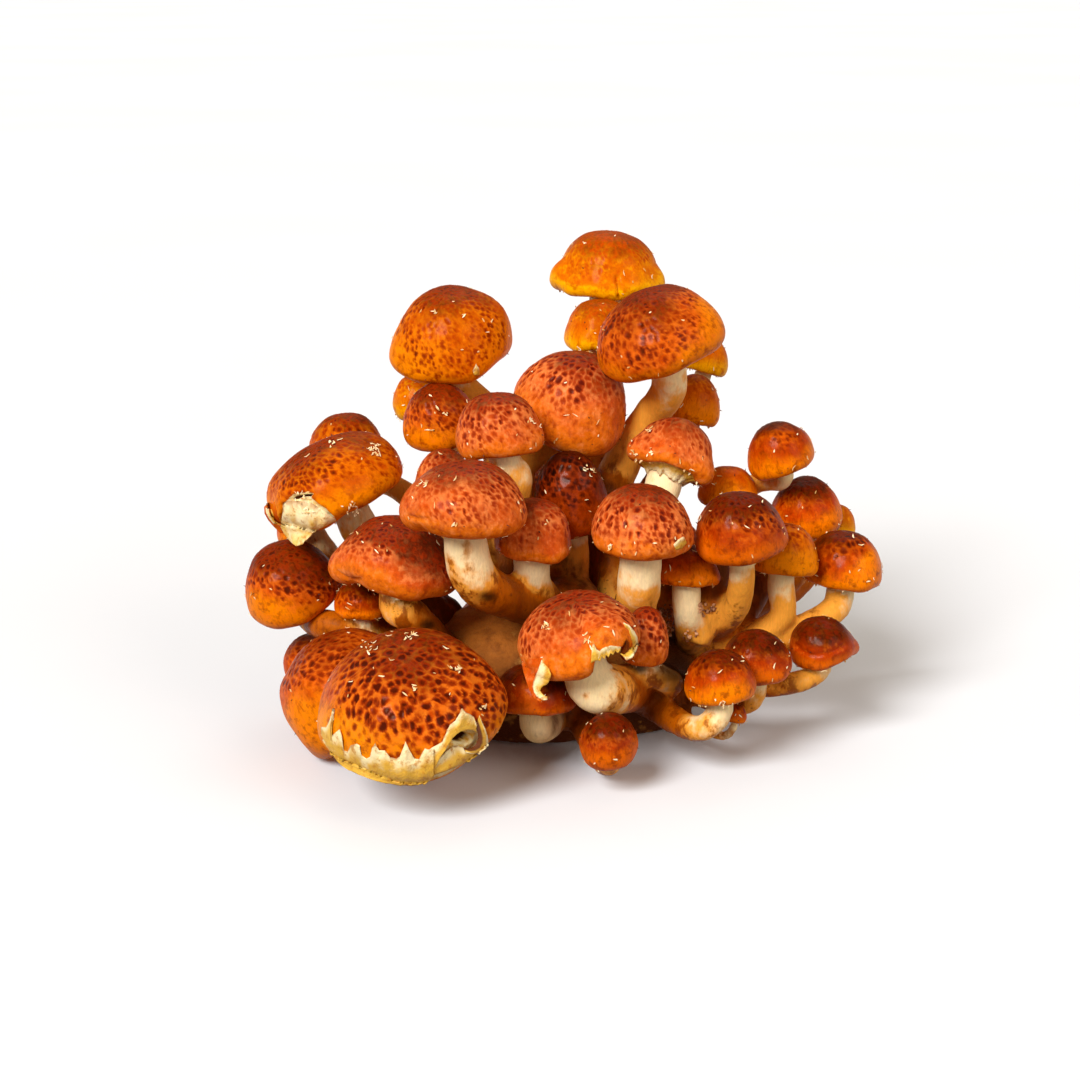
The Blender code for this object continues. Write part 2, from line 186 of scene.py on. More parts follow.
BUNCHES = (
    Bunch("stems_top", 60, 68, 8.5, (
        Mushroom("cap_top_peak", 18.5, 75, 25, 31, 16.5, 4, 15, 9, "amber"),
        Mushroom("cap_top_under_peak", 16, 59, 11.5, 20, 13, -5, 15, 7, "amber"),
        Mushroom("cap_top_large", 31, 58.5, -14, 34, 19, -20, 20, 9.5, "chestnut",
                 ((19, 14, 8), (28, 31, 4))),
        Mushroom("cap_top_small", 45.5, 50, 30, 12.5, 10, 15, 5, 5, "amber"),
        Mushroom("cap_top_low", 42, 38.5, 16, 14.5, 13, 10, 10, 6, "amber"),
    )),
    Bunch("stems_upper_left", 140, 60, 8.5, (
        Mushroom("cap_upper_left_large", -24.5, 58, 4, 33, 20, -3, 32, 8.5, "amber", ((-12, 30, 12),)),
        Mushroom("cap_upper_left_behind", -33.5, 39.5, 28, 14.5, 11.5, -20, 10, 5.5, "amber",
                 ((-23, 18, 26),)),
        Mushroom("cap_upper_left_small", -27.5, 35, -2, 20, 15, -15, 28, 6.5, "chestnut"),
        Mushroom("cap_upper_left_hidden", -26, 18.5, -9, 15.5, 12.5, 0, 15, 5.5, "chestnut"),
        Mushroom("cap_left_behind", -52.5, 27.5, 20, 20.5, 14.5, -5, 10, 6.5, "amber", ((-36, 13, 14),)),
    )),
    Bunch("stems_middle", -75, 62, 9.5, (
        Mushroom("cap_middle_large", 10, 40, -5, 31, 20, 22, 38, 8, "brick", ((-4, 8, 0), (-5, 20, -1))),
        Mushroom("cap_middle_left", -11.5, 32.5, -24, 22.5, 14.5, -8, 20, 8, "brick",
                 ((-7, 6, -12), (-6, 17, -19))),
        Mushroom("cap_middle_bud", 8, 14, -13, 20.5, 21, -5, 20, 8, "dark"),
        Mushroom("cap_middle_front", -20.5, 12.5, -42, 31.5, 16.5, 0, 17, 11, "brick", lift=(-125, 2.5)),
        Mushroom("cap_middle_low", -1.5, 4, -27, 20, 14, 5, 20, 9.5, "brick"),
    )),
    Bunch("stems_left", 172, 35, 8.5, (
        Mushroom("cap_left_torn", -56.5, 18.5, -8, 37, 16.5, -25, 20, 10, "amber", lift=(-140, 3)),
        Mushroom("cap_left_under", -64, 6, 12, 18, 9.5, -30, 5, 7, "amber"),
        Mushroom("cap_left_outer", -68.5, -9.5, -2, 26, 17.5, -20, 35, 7.5, "amber", ((-55, -23.5, -5),)),
        Mushroom("cap_front_left_small", -48, -15, -8, 15, 9.5, 0, 18, 7, "brick"),
        Mushroom("cap_front_left_sliver", -51, -21.5, 11, 10.5, 8, 0, 15, 4.5, "brick"),
        Mushroom("cap_front_left_outer", -62.5, -32, 13, 18, 13, -50, 10, 6.5, "amber"),
    )),
    Bunch("stems_front_left", -140, 15, 8.5, (
        Mushroom("cap_front_left_high", -38, -3, -24, 32, 16.5, 8, 18, 8.5, "brick",
                 ((-35, -20, -21),), (-115, 3)),
        Mushroom("cap_front_left_tilted", -57, -38.5, -19.5, 36, 22, -55, 12, 9, "amber"),
        Mushroom("cap_front_left_largest", -35.5, -40.5, -56, 46, 24, -5, 36, 11, "chestnut",
                 lift=(-35, 3)),
    )),
    Bunch("stems_front", -85, 2, 7, (
        Mushroom("cap_front_flat", -1.5, -39.5, -32, 21.5, 11, 0, 12, 8, "chestnut", ((2, -50, -24),)),
        Mushroom("cap_front_lowest", 18.5, -53, -46, 15, 11, -5, 42, 6, "chestnut"),
    )),
    Bunch("stems_right", -30, 45, 8.5, (
        Mushroom("cap_right_lifted", 37, 25.5, -12, 23, 14, 20, -5, 9.5, "chestnut"),
        Mushroom("cap_right_front", 28, 6.5, -34, 26, 15.5, 3, 20, 10.5, "brick"),
    )),
    Bunch("stems_far_right", 8, 12, 9.5, (
        Mushroom("cap_right_under", 39.5, -6.5, -16, 17.5, 10, 0, 5, 7.5, "dark"),
        Mushroom("cap_right_round", 53.5, 5, -28, 23.5, 15, -8, 25, 7, "chestnut"),
        Mushroom("cap_far_right_low", 66, -1.5, -10, 18.5, 12.5, 5, 15, 7, "chestnut", ((64, -23, -4),)),
        Mushroom("cap_far_right_high", 64, 25.5, 2, 18, 13, -20, 15, 5.5, "amber",
                 ((50, 3, 22), (57, 15, 16))),
        Mushroom("cap_far_right_behind", 51, 15, 6, 16.5, 10, 0, 10, 5.5, "chestnut"),
        Mushroom("cap_far_right_ragged", 71.5, 10, 14, 20, 14, -10, 27, 6.5, "chestnut"),
        Mushroom("cap_far_right_hidden", 79, 6, 28, 13.5, 9, 10, 5, 5, "amber"),
        Mushroom("cap_far_right_outer", 82, -4.5, 0, 21, 14, 3, 15, 7.5, "amber",
                 ((62, -28, 0), (78, -20, -2))),
    )),
    Bunch("stems_front_right", -45, 5, 8, (
        Mushroom("cap_front_torn", 10, -23.5, -45, 30.5, 16.5, -10, 20, 12, "brick",
                 ((17.5, -40.5, -38),), (-45, 4)),
        Mushroom("cap_front_behind_torn", 28.5, -25, -30, 13, 14, 5, 20, 6.5, "brick", ((36, -39, -23),)),
        Mushroom("cap_front_right_outer", 75.5, -26.5, -14, 17.5, 11, -15, 24, 5.5, "chestnut",
                 ((64, -39.5, -14),)),
        Mushroom("cap_front_right_middle", 58, -30.5, -24, 18, 12, -8, 20, 5.5, "chestnut"),
        Mushroom("cap_front_right_near", 48.5, -36, -38, 18, 12, -5, 18, 6.5, "chestnut",
                 ((37, -49, -24), (44, -51, -35))),
        Mushroom("cap_front_right_pin", 53, -46.5, -26, 5.5, 4.5, 5, 15, 2.6, "chestnut"),
    )),
    Bunch("stems_back", 95, 30, 9, (
        Mushroom("cap_back_left", -24, 6, 44, 27, 17, -12, -15, 8, "amber"),
        Mushroom("cap_back_middle", 5, 12, 52, 31, 19, 0, -20, 9, "amber"),
        Mushroom("cap_back_right", 34, -1, 44, 25, 16, 14, -18, 8, "chestnut"),
        Mushroom("cap_back_low_left", -14, -22, 50, 22, 15, -12, -35, 7, "chestnut"),
        Mushroom("cap_back_low_right", 15, -22, 54, 24, 15, 8, -35, 7.5, "amber"),
        Mushroom("cap_back_corner", 41, -24, 40, 18, 13, 25, -15, 6, "chestnut"),
    )),
)


class Look(NamedTuple):
    """How one cap's skin looks.

    The palette, then its scales: the spacing in mm, how far down the skin they reach, and how dark they are.
    Then the shape: how straight its flanks are, how wavy its rim is, and how far its lip is rolled in.
    A push is (compass in degrees, share of the way from apex to lip, mm outwards, spread in mm).
    A tear is (compass in degrees, half width in degrees, depth as a share of the skin).
    The deeper deep is, the further down the dark of the crown reaches.
    A gilt is (compass in degrees, share of the way, how much lighter or if negative how much darker, spread
    in mm): partly a gold or dark tone of the skin, and partly painted light and shade where a cap lies in the
    light or in another's shadow.
    """

    palette: str
    spacing: float = 2.1
    reach: float = 0.95
    dark: float = 0.8
    flank: float = 0.0
    wavy: float = 0.03
    roll: float = 0.7
    pushes: tuple = ()
    tears: tuple = ()
    ragged: float = 0.01
    deep: float = 0.1
    gilts_and_painted_light: tuple = ()


LOOKS = {
    "cap_top_peak": Look("gold", 1.6, 0.8, 0.6, flank=0.7, wavy=0.06, roll=0.55, ragged=0.03, pushes=(
        (-165, 0.72, 1.5, 4), (-15, 0.72, 1.3, 4), (-90, 0.3, 0.6, 6), (-140, 0.9, 0.8, 3),
    ), deep=0.45, gilts_and_painted_light=((180, 0.75, 0.35, 6), (-15, 0.8, 0.35, 6))),
    "cap_top_under_peak": Look("gold", 1.7, 0.6, 0.35, flank=0.5, roll=0.3, deep=0.25),
    "cap_top_large": Look("orange", 1.9, 1.0, 0.85, roll=1, pushes=(
        (-150, 0.6, 0.8, 8), (-30, 0.75, 0.6, 6),
    ), deep=0.25, gilts_and_painted_light=((-12, 0.6, 0.85, 9), (-120, 0.85, -0.35, 12))),
    "cap_top_small": Look("gold", 1.7, 0.5, 0.3, deep=0),
    "cap_top_low": Look("amber", 1.8, 0.6, 0.5, roll=1, deep=0, gilts_and_painted_light=((180, 0.6, 0.3, 8),)),
    "cap_upper_left_large": Look("amber", 1.7, 1.15, 1.1, flank=0.2, roll=1, wavy=0.05, ragged=0.02, pushes=(
        (150, 0.45, -1.6, 8), (-150, 0.72, 1.2, 6), (-30, 0.95, -1.6, 6), (10, 0.5, 1.4, 7),
    ), deep=0.15, gilts_and_painted_light=((180, 0.7, 0.4, 10), (0, 0.7, 0.4, 10), (-90, 0.9, -0.4, 8))),
    "cap_upper_left_behind": Look("gold", 1.7, 0.7, 0.6),
    "cap_upper_left_small": Look("orange", 1.7, 1.15, 0.85, roll=1, pushes=(
        (-160, 0.7, 0.8, 4), (-60, 0.9, 0.5, 3),
    ), deep=0.5),
    "cap_upper_left_hidden": Look("brick", 1.7),
    "cap_left_behind": Look("amber", 1.8, 0.8, 0.8, pushes=((-110, 0.5, 0.6, 4),), deep=0.3),
    "cap_middle_large": Look("brick", 2.1, 1.0, 1.05, flank=0.3, roll=1, pushes=(
        (-170, 0.62, 1.3, 7), (-40, 0.8, 1.2, 7), (60, 0.4, 0.8, 6),
    ), deep=0.2, gilts_and_painted_light=((-150, 0.6, 0.3, 12),)),
    "cap_middle_left": Look("brick", 1.8, 1.15, 0.9, flank=0.3, wavy=0.04, pushes=(
        (-145, 0.85, 1.0, 4), (-25, 0.88, 1.2, 4), (-90, 0.85, -0.5, 4),
    ), deep=0.2),
    "cap_middle_bud": Look("dark", 1.9, 1.0, 0.8, roll=1, deep=0.2),
    "cap_middle_front": Look("brick", 1.8, 1.15, 0.9, wavy=0.04, roll=1, pushes=(
        (-165, 0.72, 1.4, 6), (-140, 0.84, -0.9, 2.6), (-30, 0.7, 1.0, 6), (-85, 0.55, 0.7, 5),
    ), deep=0.15),
    "cap_middle_low": Look("brick", 1.8, 1.0, 0.75, flank=0.4, roll=0.3, wavy=0.05, pushes=(
        (-150, 0.4, 0.7, 4), (-20, 0.42, 0.7, 4), (-130, 0.9, 0.8, 3), (-40, 0.9, 0.7, 3),
    ), deep=0.3),
    "cap_left_torn": Look("amber", 1.9, 0.95, 0.9, wavy=0.06, roll=0.8, ragged=0.03, pushes=(
        (170, 0.55, 1.2, 6), (-20, 0.75, 1.0, 6), (-100, 0.4, 0.8, 6), (-125, 0.95, 2.2, 6),
    ), deep=0.25, gilts_and_painted_light=((-60, 0.5, 0.3, 9), (-150, 0.3, -0.15, 8))),
    "cap_left_under": Look("orange", 2.0, 0.4, 0.3),
    "cap_left_outer": Look("orange", 1.9, 1.05, 1.0, roll=1, deep=0.6, gilts_and_painted_light=(
        (-130, 0.7, 0.35, 9), (-20, 0.4, -0.4, 10),
    )),
    "cap_front_left_small": Look("russet", 1.7, 0.9, 0.75, roll=1, deep=0.5, pushes=(
        (-100, 0.85, -0.5, 2.5),
    )),
    "cap_front_left_sliver": Look("brick", 1.7),
    "cap_front_left_outer": Look("orange", 1.7, 1.0, 0.7),
    "cap_front_left_high": Look("brick", 2.0, 0.9, 1.0, wavy=0.06, roll=1, pushes=(
        (-170, 0.8, 1.6, 5), (-135, 0.85, -1.4, 4), (-70, 0.75, 0.9, 5), (-10, 0.7, 0.9, 6),
    ), deep=0.6, gilts_and_painted_light=((-130, 0.6, 0.15, 8), (-20, 0.35, -0.5, 11))),
    "cap_front_left_tilted": Look("orange", 2.2, 0.9, 0.9, roll=1, pushes=(
        (-100, 0.5, 0.8, 7), (180, 0.6, -0.8, 6),
    ), gilts_and_painted_light=((-120, 0.5, 0.35, 12),)),
    "cap_front_left_largest": Look("largest", 2.4, 1.2, 1.15, roll=1, wavy=0.02, pushes=(
        (-120, 0.35, 0.8, 9), (-128, 0.85, -2.2, 9),
    ), gilts_and_painted_light=((-145, 0.75, 0.5, 15),)),
    "cap_front_flat": Look("chestnut", 1.9, 0.35, 0.4, roll=0.1, wavy=0.05, deep=0.5),
    "cap_front_lowest": Look("chestnut", 1.8, 0.8, 0.8, roll=1, deep=0.8, gilts_and_painted_light=((-30, 0.8, 0.4, 6),)),
    "cap_right_lifted": Look("brick", 1.8, 1.05, 0.7, flank=0.3, wavy=0.05, roll=0.5, ragged=0.02, pushes=(
        (-160, 0.85, 1.2, 4), (-25, 0.88, 1.4, 4), (-110, 0.35, 0.7, 4), (-70, 0.75, -0.6, 4),
    )),
    "cap_right_front": Look("brick", 1.8, 1.2, 0.95, roll=1, pushes=((-90, 0.8, 0.5, 6),), deep=0.2),
    "cap_right_under": Look("russet", 1.8, 0.4, 0.5, roll=0.2, wavy=0.05, deep=0.2, gilts_and_painted_light=(
        (-90, 0.5, 0.2, 9),
    )),
    "cap_right_round": Look("chestnut", 1.7, 0.85, 0.9, roll=1, pushes=(
        (-150, 0.8, 0.7, 4), (-20, 0.8, 0.8, 4),
    ), deep=0.5),
    "cap_far_right_low": Look("amber", 1.8, 0.9, 0.7, pushes=(
        (-60, 0.75, -0.6, 3), (-20, 0.85, 0.8, 3),
    ), deep=0, gilts_and_painted_light=((-60, 0.5, 0.25, 12),)),
    "cap_far_right_high": Look("umber", 1.6, 0.7, 0.45, roll=1, pushes=(
        (20, 0.6, 1.0, 4), (-150, 0.7, 0.5, 4),
    ), deep=0.2, gilts_and_painted_light=((0, 0.7, 0.35, 7),)),
    "cap_far_right_behind": Look("amber", 1.7, 0.5, 0.5, deep=0, gilts_and_painted_light=((-90, 0.5, 0.3, 12),)),
    "cap_far_right_ragged": Look("russet", 1.8, 0.7, 0.7, ragged=0.1, wavy=0.05, deep=0.5, gilts_and_painted_light=(
        (-20, 0.8, 0.3, 7),
    )),
    "cap_far_right_hidden": Look("gold", 1.8, 0.5, 0.4, deep=0),
    "cap_far_right_outer": Look("umber", 2.2, 0.8, 0.9, roll=0.4, wavy=0.04, pushes=(
        (-60, 0.85, 0.7, 4),
    ), deep=0.4, gilts_and_painted_light=((-30, 0.6, 0.6, 8),)),
    "cap_front_torn": Look("brick", 2.1, 1.05, 1.0, roll=0.8, tears=((-58, 26, 0.2),), pushes=(
        (170, 0.6, 0.6, 5), (-95, 0.75, 0.7, 5),
    ), deep=0.15, gilts_and_painted_light=((-85, 0.8, 0.3, 10),)),
    "cap_front_behind_torn": Look("brick", 1.8, 1.1, 1.0, roll=1, deep=0.2),
    "cap_front_right_outer": Look("chestnut", 1.8, 0.7, 0.45, ragged=0.03, pushes=(
        (-70, 0.8, -0.7, 2.5), (0, 0.9, 1.9, 2.2),
    ), deep=1.0),
    "cap_front_right_middle": Look("chestnut", 1.8, 0.7, 0.5, roll=1, deep=0.6),
    "cap_front_right_near": Look("umber", 1.8, 0.65, 0.8, roll=0.4, ragged=0.02, deep=0.4, gilts_and_painted_light=(
        (-70, 0.6, 0.25, 6),
    )),
    "cap_front_right_pin": Look("russet", 1.5),
    "cap_back_left": Look("amber", 1.8),
    "cap_back_middle": Look("amber", 2.0, roll=1),
    "cap_back_right": Look("russet", 1.9, wavy=0.05),
    "cap_back_low_left": Look("orange", 1.8, roll=1),
    "cap_back_low_right": Look("amber", 1.9, 0.8),
    "cap_back_corner": Look("chestnut", 1.7),
}


class Palette(NamedTuple):
    """A skin's colours: at its crown, halfway down, at its rim, in its scales, round them and between them.

    Its gloss is how wet it looks.
    """

    crown: str
    middle: str
    rim: str
    scale: str
    halo: str
    ridge: str
    gloss: float = 0.04


PALETTES = {
    "gold": Palette("863202", "D06400", "FFB400", "803202", "B84400", "FAA000"),
    "amber": Palette("5E1C02", "C45000", "F08800", "581A02", "9A3000", "E88206"),
    "orange": Palette("4E1202", "BE4400", "EC8000", "501402", "8A2802", "E8741A", 0.06),
    "brick": Palette("561404", "CA4E10", "E07010", "5C1408", "9C300A", "F89450"),
    "largest": Palette("4C1002", "BE4602", "F08C00", "4A1002", "8C2602", "EC801E", 0.05),
    "chestnut": Palette("360800", "A43200", "D86200", "380A02", "701A00", "DC6A14", 0.09),
    "russet": Palette("420E00", "B63A00", "EA7600", "420E02", "7E2000", "E87008", 0.06),
    "umber": Palette("3A0C00", "AE3800", "EE7E00", "360A02", "6E1C00", "DE6606", 0.08),
    "dark": Palette("200402", "5C1000", "C04800", "1A0302", "400800", "A03808", 0.12),
}

# A cap's outline from its apex to the tip of its lip, as shares of its radius and of its height, open
# and rolled in
OPEN_OUTLINE = (
    (0.0, 0.80), (0.24, 0.785), (0.48, 0.725), (0.68, 0.605), (0.84, 0.45), (0.95, 0.24),
    (1.0, 0.03), (0.985, -0.08), (0.94, -0.15), (0.88, -0.18), (0.81, -0.16),
)
ROLLED_OUTLINE = (
    (0.0, 0.80), (0.25, 0.78), (0.49, 0.71), (0.69, 0.58), (0.85, 0.41), (0.96, 0.20),
    (1.0, 0.02), (0.975, -0.10), (0.89, -0.19), (0.78, -0.22), (0.66, -0.20),
)
OUTLINE_PIECES = 24

# How much of its width a straight flank takes from a cap, at shares of its height
FLANK_HEIGHTS = (0.0, 0.35, 0.8)
FLANK_SHARES = (0.0, 0.11, 0.0)

# How often a cap's outline swings in and out, and its rim up and down, round it
LOBES = (2, 3, 5)
WAVES = (2, 3, 4, 7)

# Uneven skin, as layers of height and size: a cap's torn edge, shares of its radius, and mm for the rest
TORN_EDGE = ((1.0, 0.22), (0.8, 0.07))
CAP_BULGES = ((0.045, 0.9), (0.014, 0.3))
STEM_BUMPS = ((0.16, 3.1), (0.07, 1.3))
STEM_LUMPS = ((0.5, 8.0),)
BASE_LUMPS = ((1.0, 9.0), (0.4, 3.0))

# A cap's flesh and gills as shares of its radius, and its scales' relief in mm
FLESH_SHARE = 0.45
GILL_DEPTH = 0.03
RIDGE_HEIGHT = 0.12
SCALE_DEPTH = 0.15

# How far scales stray from their even spiral, as a share of their spacing
STRAY = 0.34

# The turn from each scale to the next
GOLDEN_TURN = math.pi * (3 - math.sqrt(5))

# Random turns are drawn up to nearly a full one
ANY_TURN = 6.28

# Where the random draws start, for the bunches with their caps and for what lies on them
BUNCH_SEED = 50
DETAIL_SEED = 7

# The values between which noise is smooth
LATTICE = np.random.default_rng(3).uniform(-1, 1, (32, 32, 32))


class Wound(NamedTuple):
    """Where a cap's skin is torn off or folded, as an outline in the picture's pixels and a depth in mm.

    A tone of 0 is skin in a fold, 1 is cream flesh, and 2 is a hollow painted dark brown as painted shade.
    """

    cap: str
    outline: tuple
    depth: float
    tone: float


WOUNDS = (
    Wound("cap_front_left_largest", (
        (324, 736), (331, 748), (345, 758), (360, 765), (380, 768), (400, 770), (420, 770), (433, 762),
        (440, 749), (446, 742), (451, 735), (458, 729), (470, 727), (478, 722), (484, 722), (488, 735),
        (489, 745), (482, 754), (470, 762), (455, 780), (430, 800), (380, 806), (330, 790), (314, 750),
    ), 0.5, 1.0),
    Wound("cap_front_left_largest", (
        (434, 772), (434, 757), (440, 749), (446, 742), (451, 735), (458, 729), (470, 727), (478, 722),
        (484, 722), (488, 735), (489, 745), (482, 753), (470, 760), (455, 767), (442, 772),
    ), 2.4, 1.0),
    Wound("cap_front_left_largest", (
        (455, 741), (459, 733), (467, 730), (475, 732), (480, 740), (479, 747), (470, 749), (461, 747),
    ), 6.5, 2.0),
    Wound("cap_left_torn", (
        (282, 505), (286, 499), (293, 496.5), (301, 499), (310, 497), (318, 504), (326, 509), (331, 515),
        (337, 519.5), (327, 522.5), (316, 527), (304, 532), (297, 545), (286, 545), (280, 530), (280, 517),
    ), 1.5, 1.0),
    Wound("cap_left_torn", (
        (281, 505), (285, 501), (287, 511), (288, 522), (290, 534), (284, 534), (281, 520),
    ), 3.0, 2.0),
    Wound("cap_left_torn", (
        (285, 501), (292, 494.5), (303, 492.5), (313, 492.5), (310, 497), (300, 498), (292, 501),
    ), 2.2, 2.0),
    Wound("cap_top_peak", (
        (614.5, 276), (618, 276), (620.5, 287), (620, 300), (616.5, 300), (617, 288),
    ), 1.8, 0.0),
    Wound("cap_middle_front", (
        (407, 515), (418, 517), (431, 518), (431, 521.5), (418, 521), (407, 519),
    ), 0.7, 0.0),
    Wound("cap_front_left_high", (
        (336, 569), (344, 575), (352, 578), (362, 578), (362, 582), (351, 582), (343, 579), (335, 573),
    ), 0.7, 0.0),
    Wound("cap_front_right_outer", (
        (795, 643), (803, 650), (815, 653.5), (830, 651), (845, 643), (846, 647), (831, 655.5),
        (815, 657.5), (802, 654), (794, 647),
    ), 0.8, 0.0),
    Wound("cap_front_left_small", (
        (336, 607), (350, 611), (366, 610), (380, 606), (380, 610), (350, 615),
    ), 0.5, 0.0),
)


class Sheet(NamedTuple):
    """A torn sheet of veil or skin on a cap. Its front is veil, or skin in a palette.

    Each row of pairs is a place on its first edge and one on its second, as x and y in the picture's
    pixels and a lift towards the viewer in mm.
    A veil is cream along its first edge, and at its second it is yellow at a depth of 1 and brown at 2, as
    painted shade where it runs down into a hollow.
    """

    name: str
    cap: str
    front: str
    pairs: tuple
    depth: float = 1.0


